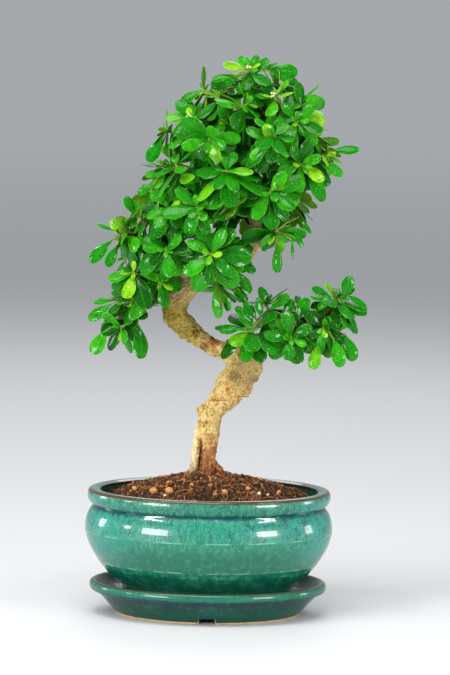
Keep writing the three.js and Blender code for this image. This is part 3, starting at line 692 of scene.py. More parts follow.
def oval_body(runs, foot_z, notch, ridges, widest):
    """A closed oval body turned from its outline, with the gaps between its feet."""
    outline = []
    for run in runs:
        for rho, z, _ in smooth_run(run):
            if not outline or abs(outline[-1][0] - rho) + abs(outline[-1][1] - z) > 1e-6:
                outline.append((min(rho, widest), z))
    width, height = notch
    gaps = []
    for quarter in range(4):
        reach = FOOT_RING["middle"] * (OVAL if quarter % 2 == 0 else 1)
        gaps.append((quarter * pi / 2, asin(width / 2 / reach)))
    edges = [middle + way * (half + out) for middle, half in gaps for way in (-1, 1) for out in (0.0, 0.002)]
    plain = list(np.linspace(0, tau, 192, endpoint=False))
    angles = sorted(set(round(a % tau, 6) for a in plain + edges))
    in_gap = [any(abs((a - middle + pi) % tau - pi) <= half + 1e-4 for middle, half in gaps) for a in angles]
    points = []
    for rho, z in outline:
        swell = sum(depth * exp(-(((z - at) / 0.9) ** 2)) for at, depth in ridges) if rho > 80 else 0
        lifted = z < foot_z + height and FOOT_RING["inner"] < rho < FOOT_RING["outer"]
        r = rho + swell
        for angle, gap in zip(angles, in_gap):
            points.append([r * cos(angle), OVAL * r * sin(angle), foot_z + height if lifted and gap else z])
    faces = [face[::-1] for face in skin_faces(len(outline), len(angles), True)]
    return points, faces, outline, len(angles)


def drill(piece, centres, radius, low, high):
    """Cuts round holes through a piece."""
    for x in centres:
        bpy.ops.mesh.primitive_cylinder_add(
            vertices=40, radius=radius * MM, depth=(high - low) * MM,
            location=(ORIGIN[0] + x * MM, ORIGIN[1], (low + high) / 2 * MM),
        )
        cutter = bpy.context.object
        cut = piece.modifiers.new("hole", "BOOLEAN")
        cut.operation = "DIFFERENCE"
        cut.solver = "EXACT"
        cut.object = cutter
        settle(piece)
        bpy.data.objects.remove(cutter)


def settle(piece):
    """Applies all of a piece's modifiers."""
    bpy.context.view_layer.update()
    done = bpy.data.meshes.new_from_object(piece.evaluated_get(bpy.context.evaluated_depsgraph_get()))
    piece.modifiers.clear()
    piece.data = done


def ceramic(name, runs, foot_z, notch, ridges, widest, materials, bare_below):
    """The glazed body of the pot or the saucer. Its foot ring is bare clay up to bare_below."""
    points, faces, outline, columns = oval_body(runs, foot_z, notch, ridges, widest)
    marks = []
    for a, b in zip(outline, outline[1:]):
        bare = max(a[1], b[1]) < bare_below + 0.6 and (a[0] + b[0]) / 2 < FOOT_RING["bare"]
        marks += [int(bare)] * columns
    heap = Heap()
    heap.add(points, faces, marks)
    piece = heap.piece(name, materials, "glaze", 40)
    clean = bmesh.new()
    clean.from_mesh(piece.data)
    bmesh.ops.remove_doubles(clean, verts=clean.verts, dist=2e-6)
    bmesh.ops.recalc_face_normals(clean, faces=clean.faces)
    clean.to_mesh(piece.data)
    clean.free()
    return piece


clay = bare_clay()
pot_glaze = glaze(
    "pot_glaze", inner=86, vein_from=60, mottle=1, shine=0.5,
    shades=[
        (0, 1, (10, 84, 66)), (33, 5, (8, 90, 70)), (46, 9, (10, 96, 76)), (64, 7, (32, 126, 108)),
        (89.5, 2.5, (32, 112, 88)),
    ],
    pool=(86.0, 88.7, (2, 56, 66), 0.9),
    brown_lines=[(97.0, 100.4, 2.3), (88.4, 99.6, 2.5)],
    ridge_highlights=[(67.4, 0.4), (42.4, 0.4)],
)
saucer_glaze = glaze(
    "saucer_glaze", inner=82, vein_from=20, mottle=0.3, shine=0.36,
    shades=[(0, 1, (2, 64, 50)), (9, 4, (0, 46, 40)), (20.0, 0.8, (10, 88, 68))],
    pool=(15.6, 20.2, (0, 44, 54), 0.95),
    brown_lines=[(94.0, 26.0, 1.1)],
)
pot = ceramic(
    "glazed_pot", POT_RUNS, SAUCER_FLOOR_Z + GAP, NOTCH["pot"], [(67, 0.35), (42, 0.22)], 100.2,
    [pot_glaze, clay], 24.8,
)
drill(pot, (-DRAIN["offset"], DRAIN["offset"]), DRAIN["radius"], 20, 40)
smooth(pot.data, 40)
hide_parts("pot")
saucer = ceramic(
    "glazed_saucer", SAUCER_RUNS, 0, NOTCH["saucer"], [], 96.2, [saucer_glaze, clay], 1.2,
)
smooth(saucer.data, 40)
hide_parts("saucer")


def soil_height(x, y):
    """The compost's height, the same as in the solid model."""
    reach = np.minimum(np.hypot(x, y / OVAL) / SOIL["edge_radius"], 1)
    lumps = np.sin(x * 0.31 + 1) * np.cos(y * 0.37) + 0.6 * np.sin(x * 0.13 - y * 0.21)
    return SOIL["edge_z"] + SOIL["mound"] * (1 - reach**2) + SOIL["rough"] * lumps * (1 - reach**6)


def crumbly(x, y):
    """The compost's height with its crumbs."""
    coarse = noise.fractal(Vector((x * 0.16, y * 0.16, 3.1)), 0.9, 2.1, 4)
    heaped = 3.0 * exp(-(((x + 3) ** 2 + y * y) / 20**2))
    return float(soil_height(x, y)) + 1.2 * coarse + heaped


def soil_body():
    columns = 220
    turn = np.arange(columns) / columns * tau
    rings = [[r, z, False] for r, z in SOIL_SIDE]
    rings += [[share * SOIL["edge_radius"], 0, True] for share in np.linspace(1, 0.01, 84)]
    points = []
    for rho, z, top in rings:
        for angle in turn:
            x, y = rho * cos(angle), OVAL * rho * sin(angle)
            points.append([x, y, crumbly(x, y) if top else z])
    faces = skin_faces(len(rings), columns, True)
    faces.append(list(range((len(rings) - 1) * columns, len(rings) * columns)))
    heap = Heap()
    heap.add(points, faces)
    return heap


CORNERS = np.array([
    [-1, -1, -1], [1, -1, -1], [1, 1, -1], [-1, 1, -1], [-1, -1, 1], [1, -1, 1], [1, 1, 1], [-1, 1, 1],
], float)
BOX_FACES = [[0, 3, 2, 1], [4, 5, 6, 7], [0, 1, 5, 4], [1, 2, 6, 5], [2, 3, 7, 6], [3, 0, 4, 7]]
SPIKES = np.array([[1, 0, 0], [-1, 0, 0], [0, 1, 0], [0, -1, 0], [0, 0, 1], [0, 0, -1]], float)
SPIKE_FACES = [[0, 2, 4], [2, 1, 4], [1, 3, 4], [3, 0, 4], [2, 0, 5], [1, 2, 5], [3, 1, 5], [0, 3, 5]]


def ball():
    """A small round grain: three rings of eight points between two poles."""
    turn = np.arange(8) / 8 * tau
    rings = [[[c * cos(a), c * sin(a), h] for a in turn] for h, c in ((-0.7, 0.71), (0, 1), (0.7, 0.71))]
    points = np.array(rings).reshape(-1, 3)
    faces = skin_faces(3, 8, True)
    faces += [[24, (i + 1) % 8, i] for i in range(8)] + [[25, 16 + i, 16 + (i + 1) % 8] for i in range(8)]
    return np.concatenate([points, [[0, 0, -1], [0, 0, 1]]]), faces


BALL, BALL_FACES = ball()


def spin(rng, tilt):
    """A random turn: free about the upright, at most tilt away from it."""
    flat = rng.uniform(0, tau)
    lean = rng.normal(0, tilt, 2)
    turn = Matrix.Rotation(flat, 3, "Z") @ Matrix.Rotation(lean[0], 3, "X") @ Matrix.Rotation(lean[1], 3, "Y")
    return np.array(turn)


def strewn(rng, reach=0.985):
    """A random place on the compost, clear of the trunk's foot."""
    while True:
        angle = rng.uniform(0, tau)
        rho = SOIL["edge_radius"] * reach * rng.uniform(0, 1) ** 0.6
        x, y = rho * cos(angle), OVAL * rho * sin(angle)
        if hypot(x - TRUNK_FOOT["x"], y) > TRUNK_FOOT["clear"]:
            return x, y


def crumbs(heap, rng, count, size, flatness, tone, tilt, lift, reach=0.985, rounded=False):
    """Strews chips, sharp or rounded. Sizes, flatness and tones lie between two limits each."""
    for _ in range(count):
        x, y = strewn(rng, reach)
        long = rng.uniform(*size)
        shape = np.array([long, long * rng.uniform(0.45, 0.8), long * rng.uniform(*flatness)]) / 2
        if rounded:
            shape[1] = long * rng.uniform(0.38, 0.48)
            points, faces = BALL * rng.uniform(0.78, 1.1, (26, 1)), BALL_FACES
        elif rng.uniform() < 0.5:
            points, faces = CORNERS * rng.uniform(0.55, 1.0, (8, 3)), BOX_FACES
        else:
            points, faces = SPIKES * rng.uniform(0.8, 1.25, (6, 3)), SPIKE_FACES
        points = (points * shape) @ spin(rng, tilt).T
        points = points + [x, y, crumbly(x, y) + lift * shape[2]]
        keep_inside(points)
        # Chips darker toward the pot's wall: partly damp compost, partly painted shade along the wall
        edge = hypot(x, y / OVAL) / SOIL["edge_radius"]
        heap.add(points, faces, tone=max(rng.uniform(*tone) - 0.22 * max(edge - 0.6, 0) / 0.4, 0))


# Large tan nuggets and white perlite that stand out: x, y and diameter
NUGGETS = [
    (-44.5, -34, 7), (-32, -38, 7.5), (12.5, -44, 6), (-60, -20, 5), (31, -30, 4.5), (56, -24, 4.5),
    (-14, -30, 4.5),
]
PERLITE = [(40, -38, 4.4), (47, -36, 2.4), (-35, -43, 3.2), (-22, 30, 2.6), (18, 36, 3), (-62, 16, 2.4)]


def grain(heap, rng, x, y, size, tone, mark):
    """One rounded grain half sunk in the compost."""
    shape = size / 2 * np.array([1, rng.uniform(0.8, 0.95), rng.uniform(0.65, 0.8)])
    points = (BALL * rng.uniform(0.88, 1.08, (26, 1)) * shape) @ spin(rng, 0.3).T
    heap.add(points + [x, y, crumbly(x, y) + 0.5 * shape[2] + 1.0], BALL_FACES, mark, tone=tone)


def keep_inside(points):
    """Draws points that would pass the pot's inner wall back on to the compost."""
    rho = np.hypot(points[:, 0], points[:, 1] / OVAL)
    points[:, :2] /= np.maximum(rho / INNER_WALL, 1)[:, None]


def fibres(heap, rng, count):
    """Strews thin bent fibres, each rising a little at its middle."""
    for _ in range(count):
        x, y = strewn(rng, 0.9)
        long, angle = rng.uniform(4, 15), rng.uniform(0, tau)
        bend = rng.normal(0, 0.22, 2)
        path = []
        for step in range(5):
            t = step / 4 - 0.5
            px = x + long * t * cos(angle + bend[0] * t)
            py = y + long * t * sin(angle + bend[0] * t) + long * bend[1] * (0.25 - t * t)
            path.append([px, py, crumbly(px, py) + 0.6 + 4.5 * (0.25 - t * t) * rng.uniform(0, 2), 0.16])
        points, faces = tube(path, 3, 1)
        keep_inside(points)
        heap.add(points, faces, tone=rng.uniform(0.2, 1.0))


soil = soil_body().piece("compost_bed", [compost()], "compost", 80)
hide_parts("soil")
rng = np.random.default_rng(7)
litter = Heap()
crumbs(litter, rng, 4600, (1.0, 3.0), (0.5, 0.9), (-0.4, 0.66), tilt=0.6, lift=0.6)
crumbs(litter, rng, 800, (2.0, 4.4), (0.25, 0.5), (0.0, 0.9), tilt=0.5, lift=0.9)
crumbs(litter, rng, 50, (3.0, 5.2), (0.5, 0.75), (0.66, 0.84), tilt=0.3, lift=0.45, reach=0.9, rounded=True)
for x, y, size in NUGGETS:
    grain(litter, rng, x, y, size, 0.8, 0)
crumbs(litter, rng, 170, (2.0, 3.8), (0.5, 0.8), (0.1, 0.7), tilt=0.8, lift=0.9, reach=0.36)
fibres(litter, rng, 1000)
for x, y, size in PERLITE:
    grain(litter, rng, x, y, size, 0.5, 1)
litter.piece("bark_chips_and_fibres", [chips(), perlite()], "compost", 30)

plastic = net_plastic()
for net in ("drain_net_left", "drain_net_right"):
    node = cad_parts[net]
    if not node.material_slots:
        node.data.materials.append(plastic)
    for slot in node.material_slots:
        slot.material = plastic


def nearest_on_wood(target):
    """The point of the branches and the upper leader nearest to a shoot's end."""
    best, found = inf, None
    for path in [LEADER[12:]] + BRANCHES:
        for a, b in zip(path, path[1:]):
            a, b = np.array(a[:3], float), np.array(b[:3], float)
            t = min(max(np.dot(target - a, b - a) / np.dot(b - a, b - a), 0), 1)
            point = a + (b - a) * t
            if norm(target - point) < best:
                best, found = norm(target - point), point
    return found


def grow_from(shoot, root):
    """Sets a shoot's twig, from its root on the wood to its hub, and which way its leaves face."""
    shoot["root"] = root
    shoot["twig"] = unit(shoot["hub"] - root)
    shoot["base"] = shoot["hub"] - shoot["twig"] * HUB["length"] / 2
    lean = np.array([0.5 * (scatter(shoot["index"], key) - 0.5) for key in (8, 9, 10)])
    shoot["facing"] = unit(shoot["twig"] + lean + UP * 0.35)


shoots = []
for part, ends in SHOOTS.items():
    for n, (x, y, z, size) in enumerate(ends):
        shoots.append({
            "index": len(shoots), "name": f"{part}_{n + 1}", "part": part, "size": size,
            "hub": np.array([x, y, z], float),
        })
limbs = []
for path in BRANCHES:
    tip = np.array(path[-1][:3], float)
    free = [shoot for shoot in shoots if "root" not in shoot]
    chosen = min(free, key=lambda shoot: norm(shoot["hub"] - tip))
    grow_from(chosen, tip)
    chosen["ends_branch"] = True
    limbs.append(path + [[*chosen["base"], TWIG["tip_radius"]]])
for shoot in shoots:
    if "root" not in shoot:
        grow_from(shoot, nearest_on_wood(shoot["hub"]))


def across_from(facing):
    """A direction across the given one."""
    return unit(np.cross([0.31, 0.12, 0.94], facing))


def frame_of(shoot):
    """Two directions across a shoot's facing, turned by the shoot's own scatter."""
    facing = shoot["facing"]
    x = turned(across_from(facing), facing, 6.28 * scatter(shoot["index"], 7))
    return x, np.cross(facing, x)


def leaf_try(shoot, whorl, side, tries):
    """The leaf at one place of a whorl. Each further try turns and raises it a little, and shortens it."""
    index, facing, twig = shoot["index"], shoot["facing"], shoot["twig"]
    x, y = frame_of(shoot)
    swing = 0.13 * ceil(tries / 2) * (1 if tries % 2 else -1) * (1 if tries < 7 else 0.4)
    turn = ((side + 0.5) / 5 + whorl * 0.1) * tau + 0.46 * (scatter(index, side, whorl, 1) - 0.5) + swing
    spread = (1.32 - 0.55 * whorl + 0.34 * scatter(index, side, whorl, 2)) * (1 - 0.035 * tries)
    length = LEAF["length"] * shoot["size"] * (1 - 0.2 * whorl)
    length *= (0.8 + 0.36 * scatter(index, side, whorl, 3)) * (1 - 0.035 * tries)
    foot = shoot["hub"] + twig * HUB["length"] * (0.45 * whorl - 0.25)
    hang = HANG[shoot["part"]] * (0.3 + 0.9 * scatter(index, side, whorl, 4)) * (1 - 0.3 * whorl)
    return leaf_from(foot, facing, x, y, turn, spread, length, hang)


def leaf_from(foot, facing, x, y, turn, spread, length, hang=0.0):
    """A leaf that leaves a rosette at foot, turned about its facing, spread away from it and hanging."""
    along = facing * cos(spread) + (x * cos(turn) + y * sin(turn)) * sin(spread)
    along = unit(along - UP * hang)
    sky = facing * 0.9 + UP * 0.3
    return {"foot": foot, "along": along, "normal": unit(sky - along * np.dot(sky, along)), "length": length}


def leaf_corner(leaf, s, w):
    """A point of a leaf's face: s runs along it from 0 to 1, w across it from -1 to 1."""
    across = np.cross(leaf["along"], leaf["normal"])
    length = leaf["length"]
    at = leaf["foot"] + leaf["along"] * s * length - leaf["normal"] * LEAF["droop"] * length * s * s
    return at + across * w * length * LEAF["width_share"] / 2


def node_points(name):
    return (read(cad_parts[name].data.vertices, "co").astype(float) - ORIGIN) / MM


def leaves_of(shoot):
    """The leaves that the shoot's solid has: the try whose tip corners are among its points."""
    points = node_points("spray_" + shoot["name"])
    found = []
    for whorl in (0, 1):
        for side in range(5):
            for tries in range(11):
                leaf = leaf_try(shoot, whorl, side, tries)
                off = max(norm(points - leaf_corner(leaf, 0.98, w), axis=1).min() for w in (-0.45, 0.45))
                if off < 0.05:
                    found.append((whorl, side, leaf))
                    break
    return found


# A leaf's outline: where its rows lie along it, how wide they are, and where its columns lie across it
ROWS = np.array([
    0, 0.05, 0.12, 0.21, 0.31, 0.42, 0.53, 0.62, 0.7, 0.765, 0.79, 0.845, 0.87, 0.91, 0.95, 0.98, 1.0,
])
WIDE = np.array([
    0.1, 0.11, 0.17, 0.33, 0.53, 0.74, 0.9, 0.98, 1.0, 0.99, 0.86, 0.9, 0.74, 0.77, 0.56, 0.44, 0.16,
])
COLUMNS = np.array([-1, -0.66, -0.3, 0, 0.3, 0.66, 1])


def blade(row_ids, column_ids):
    """One fineness of a blade's net: its rows, their widths, its columns, its faces and their materials."""
    rows, columns = len(row_ids), len(column_ids)
    under = rows * columns
    top = skin_faces(rows, columns, False)
    faces = top + [[i + under for i in face[::-1]] for face in top]
    rim = list(range(columns))
    rim += [r * columns + columns - 1 for r in range(1, rows)]
    rim += [(rows - 1) * columns + c for c in range(columns - 2, -1, -1)]
    rim += [r * columns for r in range(rows - 2, 0, -1)]
    for a, b in zip(rim, rim[1:] + rim[:1]):
        faces.append([b, a, a + under, b + under])
    marks = [0] * len(top) + [1] * len(top) + [0] * len(rim)
    row_ids, column_ids = list(row_ids), list(column_ids)
    return ROWS[row_ids], WIDE[row_ids], COLUMNS[column_ids], faces, marks


FINE = blade(range(len(ROWS)), range(len(COLUMNS)))
PLAIN = blade((0, 2, 4, 6, 8, 11, 14, 16), (0, 1, 3, 5, 6))


def add_leaf(heap, leaf, tone, rng, net=FINE, broad=1.0):
    """A blade with a cupped, waved and toothed edge and a groove along its midrib."""
    rows, wide, columns, faces, marks = net
    along, length = leaf["along"], leaf["length"]
    normal = turned(leaf["normal"], along, rng.normal(0, 0.14))
    across = np.cross(along, normal)
    s, w = rows[:, None], columns[None, :]
    half = length * LEAF["width_share"] / 2 * wide[:, None] * rng.uniform(0.86, 1.14) * broad
    bend = LEAF["droop"] * rng.uniform(0.95, 1.3)
    wave = rng.uniform(0.0, 0.09) * np.sin(s * rng.uniform(6, 10) + rng.uniform(0, 6.28) + w * 1.3)
    groove = 0.014 * length * wide[:, None] * np.exp(-((w / 0.2) ** 2))
    sink = half * (rng.uniform(0.14, 0.34) * w**2 + wave * np.abs(w)) + groove
    lean = rng.normal(0, 0.06) * length * np.maximum(s - 0.2, 0) ** 2
    local = normal + along * (1.2 * bend * s)[..., None]
    local = local / norm(local, axis=2, keepdims=True)
    centre = leaf["foot"] + along * (s * length)[..., None] - normal * (bend * length * s * s)[..., None]
    top = centre + across * (w * half + lean)[..., None] - local * sink[..., None]
    thick = LEAF["thickness"] * (1 - 0.45 * np.abs(w)) * np.ones_like(s)
    under = top - local * thick[..., None]
    both = np.concatenate([top.reshape(-1, 3), under.reshape(-1, 3)])
    leaf_s, leaf_w = (np.tile((part + 0 * (s + w)).ravel(), 2) for part in (s, w))
    heap.add(both, faces, marks, tone=tone, leaf_s=leaf_s, leaf_w=leaf_w)


def leaf_tone(rng, height, young=0.0):
    """Mostly mid green, each leaf with a shade of its own. Painted light: darker lower down and brighter
    toward the top of the crown, where more light falls; the brightest yellow-green tones also stand in
    for leaves lit from behind.
    """
    # Painted light: the tone rises toward the top of the crown
    painted_light = 0.34 + 0.2 * min(max((height - CROWN["low"]) / CROWN["height"], 0), 1)
    tone = rng.normal(painted_light, 0.22) + young
    if rng.uniform() < 0.05:
        tone += 0.3
    return float(min(max(tone, 0.0), 1.0))


def add_stem(heap, path, sides, steps, tone):
    """A hub or a stalk, in the third of the leaves' materials."""
    heap.add(*tube(path, sides, steps), 2, leaf_s=0.5, leaf_w=0.0, tone=tone)


def rosette(heap, rng, at, facing, frame_xy, count, spread, length, young, net=FINE, hang=0.6):
    """Leaves set round a point by the golden angle."""
    phase = rng.uniform(0, tau)
    for k in range(count):
        turn = phase + GOLDEN_ANGLE * k + rng.normal(0, 0.2)
        lean = spread * rng.uniform(0.8, 1.15)
        long = length * rng.uniform(0.75, 1.15)
        leaf = leaf_from(at, facing, *frame_xy, turn, lean, long, hang * rng.uniform(0.3, 1.3))
        add_leaf(heap, leaf, leaf_tone(rng, at[2], young), rng, net)


LEAF_SLOTS = [leaf_top(), leaf_under(), bud()]

# Shoots with a few pale buds at their middle
BUDDING = ("top_1", "top_3", "top_5")
leaf_count = 0
for shoot in shoots:
    rng = np.random.default_rng(100 + shoot["index"])
    heap = Heap()
    hub_shape = [(0.3, 1.1), (2.2, HUB["radius"]), (4.4, 1.15), (6.0, 0.7)]
    add_stem(heap, [[*(shoot["base"] + shoot["twig"] * far), radius] for far, radius in hub_shape], 7, 2, 0.6)
    for whorl, side, leaf in leaves_of(shoot):
        leaf_count += 1
        add_leaf(heap, leaf, leaf_tone(rng, leaf["foot"][2], 0.06 * whorl), rng)
    facing, twig = shoot["facing"], shoot["twig"]
    top = shoot["hub"] + twig * HUB["length"] * 0.42
    rosette(heap, rng, top, facing, frame_of(shoot), 4, 0.6, 10 * shoot["size"], 0.25, FINE, 0.1)
    below = shoot["hub"] - twig * rng.uniform(6, 8)
    if norm(below - shoot["root"]) > 4:
        rosette(heap, rng, below, facing, frame_of(shoot), 5, 1.3, 23 * shoot["size"], -0.08, PLAIN, 0.9)
    if shoot["name"] in BUDDING:
        for k in range(4):
            out = frame_of(shoot)[k % 2] * (1.5 if k < 2 else -1.5)
            at = top + facing * (2.5 + 0.6 * k) + out
            heap.add(at + SPIKES * 1.25, SPIKE_FACES, 2, leaf_s=0.5, leaf_w=0.0, tone=1.0)
    piece = heap.piece("leaves_" + shoot["name"], LEAF_SLOTS, "leaf", 50)
    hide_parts("spray_" + shoot["name"])


# How far back the fillers move where the trunk shows through the front of the crown
BEHIND_TRUNK = 16


def filler_rosettes(name, paths, spacing, seed):
    """Smaller rosettes on side shoots along the branches, which close the crown from inside."""
    rng = np.random.default_rng(seed)
    heap = Heap()
    for path in paths:
        points = [np.array(p[:3], float) for p in path]
        count = max(int(path_length(points) / spacing), 1)
        for k in range(count):
            at = curve_point(points, (k + rng.uniform(0.4, 0.9)) / count)
            out = at - np.array([CROWN["heart"][0], 0, at[2] - CROWN["heart"][1]])
            facing = unit(unit(out) + rng.normal(0, 0.45, 3) + [0, -0.1, 0.1])
            hub = at + facing * rng.uniform(5, 9)
            if 12 < hub[0] < 58 and 276 < hub[2] < 330 and hub[1] < 6:
                hub[1] += BEHIND_TRUNK
            bend = (at + hub) / 2 + rng.normal(0, 0.6, 3)
            add_stem(heap, [[*at, 0.8], [*bend, 0.75], [*hub, 0.9]], 5, 2, 0.3)
            x = across_from(facing)
            pair = (x, np.cross(facing, x))
            rosette(heap, rng, hub, facing, pair, 6, 1.25, 23, -0.1, PLAIN, 0.8)
            rosette(heap, rng, hub + facing * 1.5, facing, pair, 3, 0.75, 16, 0.0, PLAIN)
    heap.piece(name, LEAF_SLOTS, "leaf", 50)


# Which way the upper sides of the single leaves face
LONE_SKY = unit(np.array([0.0, -0.8, 0.6]))


def lone_leaves(name, table, seed):
    """Leaves that reach out further than the rosettes, each on a short stalk from the nearest one."""
    rng = np.random.default_rng(seed)
    heap = Heap()
    for foot, tip, tone, broad in table:
        foot, tip = np.array(foot, float), np.array(tip, float)
        long = norm(tip - foot)
        normal = LONE_SKY
        for _ in range(4):
            along = unit(tip + normal * LEAF["droop"] * long - foot)
            normal = unit(LONE_SKY - along * np.dot(LONE_SKY, along))
        hub = min((shoot["hub"] for shoot in shoots), key=lambda hub: norm(hub - foot))
        middle = (hub + foot) / 2 + UP * 0.8
        add_stem(heap, [[*hub, 0.7], [*middle, 0.6], [*(foot + along), 0.5]], 5, 3, 0.3)
        facing = turned(normal, along, rng.normal(0, 0.25))
        leaf = {"foot": foot, "along": along, "normal": facing, "length": long}
        add_leaf(heap, leaf, tone, rng, broad=broad)
    heap.piece(name, LEAF_SLOTS, "leaf", 50)


# Foot, tip, tone and breadth of each leaf
LONE_LEAVES = {
    "leaves_alone_left": [
        [(-80, -24, 304), (-96, -28, 286), 0.4, 0.85], [(-79, -22, 310), (-92, -24, 317), 0.6, 0.9],
        [(-83, -21, 232), (-95, -24, 213), 0.7, 1], [(-60, -24, 238), (-51, -28, 211), 0.35, 1],
        [(-80, -20, 252), (-98, -22, 240), 0.5, 1], [(-76, -24, 300), (-82, -28, 282), 0.4, 0.9],
        [(-62, -24, 322), (-69, -26, 338), 0.5, 0.9],
    ],
    "leaves_alone_crown": [
        [(51, -28, 304), (53.5, -30, 281), 0.5, 0.8], [(62, -30, 307), (66, -32, 292), 0.55, 0.6],
        [(67, -26, 325), (77, -28, 312), 0.3, 0.5], [(60, -26, 318), (71, -28, 301), 0.35, 0.5],
        [(42, -12, 440), (64, -14, 429), 0.45, 0.8], [(46, -6, 430), (70, -10, 416), 0.4, 1],
        [(16, -14, 436), (-2, -18, 432), 0.5, 0.8], [(36, -10, 440), (47, -12, 448), 0.5, 0.9],
        [(80, -24, 371), (102, -26, 361), 0.6, 1], [(72, -30, 364), (89, -34, 341), 0.5, 0.9],
        [(92, -16, 377), (114, -18, 377.5), 0.4, 0.7], [(-10, -20, 424), (-27, -22, 416), 0.5, 0.9],
        [(-41, -24, 387), (-52, -28, 367), 0.4, 0.9], [(-48, -24, 348), (-60, -26, 341), 0.5, 0.9],
        [(30, -12, 436), (39, -12, 450), 0.5, 1.3], [(20, -14, 434), (-2, -16, 425), 0.45, 1],
        [(40, -12, 441), (63.4, -14, 436), 0.35, 0.9], [(31, -14, 434), (44, -20, 421), 0.4, 1],
    ],
    "leaves_alone_front": [
        [(1, -22, 266), (3, -26, 243), 0.75, 0.9], [(9, -20, 266), (10, -22, 248), 0.6, 0.9],
        [(17, -24, 281), (31, -26, 265), 0.5, 1], [(20, -24, 288), (33, -26, 280), 0.4, 1],
        [(14, -24, 272), (26, -26, 256), 0.45, 0.9],
    ],
    "leaves_alone_right": [
        [(33, -38, 239), (19, -42, 252), 0.4, 0.9], [(26, -38, 236), (7, -42, 234), 0.35, 0.9],
        [(45, -12, 250), (39, -14, 266), 0.4, 0.9], [(67, -28, 240), (74, -28, 260), 0.4, 0.9],
        [(104, -16, 258), (113, -18, 275), 0.45, 1], [(103, -14, 254), (123.5, -18, 247), 0.45, 1],
        [(97, -28, 228), (104, -32, 207), 0.6, 1], [(86, -30, 224), (80, -34, 205), 0.85, 1],
        [(106, -24, 232), (113, -28, 211), 0.4, 0.9], [(57, -20, 243), (64, -22, 257), 0.45, 1],
        [(82, -20, 246), (92, -22, 262), 0.5, 0.9], [(36, -30, 241), (26, -32, 255), 0.4, 1],
        [(40, -30, 243), (36, -32, 257), 0.45, 1], [(45, -24, 249), (61, -24, 260), 0.5, 0.9],
        [(95, -16, 260), (80, -18, 266), 0.4, 0.9], [(106, -16, 262), (123.4, -16, 254), 0.4, 0.9],
    ],
}
for n, (name, table) in enumerate(LONE_LEAVES.items()):
    lone_leaves(name, table, 61 + n)

crown_paths = [path for path in BRANCHES if min(p[2] for p in path) > 285 or path[0][2] > 330]
filler_rosettes("leaves_inside_crown", crown_paths + [LEADER[13:]], 8.5, 41)
filler_rosettes("leaves_inside_left", [BRANCHES[1][1:], BRANCHES[2], BRANCHES[3], BRANCHES[4]], 11, 42)
filler_rosettes("leaves_inside_right", [BRANCHES[0][2:]], 8, 43)
print("leaves matched to the solids:", leaf_count)

# Strands that join the lower trunk to its roots
STRANDS = [
    [[-6, 1, 148, 3], [-8, 1.5, 133, 3.6], [-9.5, 1, 121, 4.2], [-12, 0, 108, 4.5]],
    [[-6, -3, 169, 3], [-6.6, -3, 162, 4.6], [-6.4, -3, 153, 4], [-8, -3, 143, 3.2]],
]


def wood_piece():
    """Trunk, roots and stout branches as one skin."""
    rough = Heap()
    rough.add(*tube(LOWER_TRUNK, 22, 4, 0.05))
    rough.add(*tube(LEADER, 20, 4, 0.05))
    for path in ROOTS + STRANDS:
        rough.add(*tube(path, 10, 4))
    for path in limbs:
        thick = [p for p in path if p[3] >= 1.55]
        if len(thick) > 1:
            rough.add(*tube(path[: len(thick) + 1], 10, 4))
    for x, y, z, radius in KNOBS:
        round_ends = [(-1, 0.3), (-0.7, radius * 0.7), (0, radius), (0.7, radius * 0.7), (1, 0.3)]
        rough.add(*tube([[x + radius * way, y, z, thick] for way, thick in round_ends], 12, 3))
    body = rough.piece("trunk", [bark(), twig_bark()], "bark")
    remesh = body.modifiers.new("skin", "REMESH")
    remesh.mode = "VOXEL"
    remesh.voxel_size = TRUNK_VOXEL * MM
    settle(body)
    return body


def relief(spot, across, along, seed=0):
    """Noise with its own fineness across the trunk and along it."""
    x, y, z = spot
    return noise.noise(Vector((x * across, y * across, z * along + seed)))


def gnarl(mesh):
    """Moves the bark's points in and out: long ridges, lumps and pits."""
    place = read(mesh.vertices, "co").astype(float)
    normals = read(mesh.vertex_normals, "vector")
    for i, spot in enumerate((place - ORIGIN) / MM):
        ridge = 1 - abs(relief(spot, 0.33, 0.08, 9)) * 2.4
        stout = min(max((320 - spot[2]) / 70, 0.2), 1)
        foot = min(max((150 - spot[2]) / 20, 0), 1)
        move = 0.9 * relief(spot, 0.09, 0.07) + 1.3 * relief(spot, 0.21, 0.17, 5)
        move += (0.2 + 0.9 * foot) * (ridge - 0.5) + relief(spot, 0.5, 0.45, 4)
        place[i] += normals[i] * (move * stout - 0.2) * MM
    mesh.vertices.foreach_set("co", place.astype(np.float32).ravel())
    mesh.update()


trunk = wood_piece()
gnarl(trunk.data)
smooth(trunk.data, 75)
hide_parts("trunk_and_branches")
twigs = Heap()
for path in limbs:
    thin = next((i for i, p in enumerate(path) if p[3] < 2.1), len(path) - 2)
    twigs.add(*tube(path[max(thin - 1, 0):], 8, 4))
for shoot in shoots:
    if not shoot.get("ends_branch"):
        path = [[*shoot["root"], TWIG["root_radius"]], [*shoot["base"], TWIG["tip_radius"]]]
        twigs.add(*tube(path, 7, 5))
twig_piece = twigs.piece("twigs", [twig_bark()], "bark", 60)
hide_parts("trunk_and_branches")

# The floor lies a hair under the saucer's feet
FLOOR_SPAN = 90.0
floor_mesh = bpy.data.meshes.new("floor")
floor_mesh.from_pydata([(x * FLOOR_SPAN, y * FLOOR_SPAN, 0) for x, y, _ in CORNERS[:4]], [], [(0, 1, 2, 3)])
floor_mesh.materials.append(pale_floor())
floor = bpy.data.objects.new("floor", floor_mesh)
floor.location = (0, 0, -0.0002)
bpy.context.scene.collection.objects.link(floor)

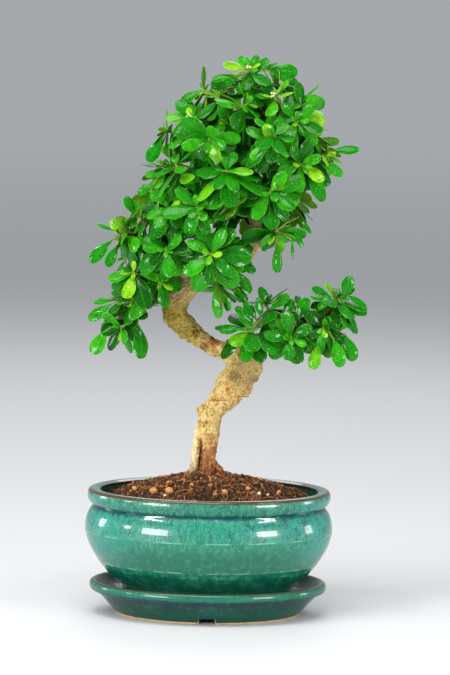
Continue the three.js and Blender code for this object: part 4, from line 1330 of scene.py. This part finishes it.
world = bpy.context.scene.world or bpy.data.worlds.new("studio")
bpy.context.scene.world = world
world.use_nodes = True
background = world.node_tree.nodes["Background"].inputs
background["Color"].default_value = (0.86, 0.89, 0.93, 1)
background["Strength"].default_value = 0.5

# Soft lamps: azimuth and elevation, distance, width and height in metres, power, and the height in
# millimetres that each points at. Azimuth 0 is in front of the pot and grows to the viewer's right.
LAMPS = {
    "key_left": (-41, 8, 1.3, 0.5, 0.3, 11, 75),
    "key_right": (45, 7, 1.3, 0.4, 0.26, 9, 75),
    "side_left": (-105, 9, 1.6, 0.3, 0.4, 5, 75),
    "side_mid": (-68, 12, 1.5, 0.2, 0.16, 2.5, 75),
    "side_right": (92, 6, 1.6, 0.3, 0.4, 5, 75),
    "overhead": (-20, 66, 1.7, 1.2, 0.9, 24, 200),
    "spark_left": (-54, 40, 1.7, 0.5, 0.09, 6, 300),
    "spark_right": (58, 40, 1.7, 0.5, 0.09, 5, 300),
    "back": (175, 40, 2.2, 1.4, 0.9, 14, 200),
}
for name, (azimuth, elevation, distance, width, height, power, aim) in LAMPS.items():
    a, e = radians(azimuth), radians(elevation)
    way = Vector((sin(a) * cos(e), -cos(a) * cos(e), sin(e)))
    lamp = bpy.data.lights.new(name, "AREA")
    lamp.shape = "RECTANGLE"
    lamp.size, lamp.size_y = width, height
    lamp.energy = power
    holder = bpy.data.objects.new(name, lamp)
    holder.location = Vector(ORIGIN) + Vector((0, 0, aim)) * MM + way * distance
    holder.rotation_euler = way.to_track_quat("Z", "Y").to_euler()
    holder.visible_camera = False
    bpy.context.scene.collection.objects.link(holder)

# The photograph's camera: where it stands, what it points at, how it leans, and its focal length
EYE = np.array([10.6, -2985.2, 522.3])
TARGET = np.array([10.6, 0, 224.3])
ROLL = radians(1)
FOCAL_LENGTH = 198.4
back = Vector(EYE - TARGET).normalized()
right = Vector((1, 0, 0))
upright = back.cross(right)
right, upright = (
    right * cos(ROLL) + upright * sin(ROLL),
    upright * cos(ROLL) - right * sin(ROLL),
)
lens = bpy.data.cameras.new("camera")
lens.lens = FOCAL_LENGTH
lens.sensor_width = 36
lens.clip_end = 300
camera = bpy.data.objects.new("camera", lens)
turn = Matrix((right, upright, back)).transposed().to_4x4()
camera.matrix_world = Matrix.Translation(Vector(EYE * MM + ORIGIN)) @ turn
bpy.context.scene.collection.objects.link(camera)
bpy.context.scene.camera = camera
bpy.context.scene.view_settings.view_transform = "Standard"
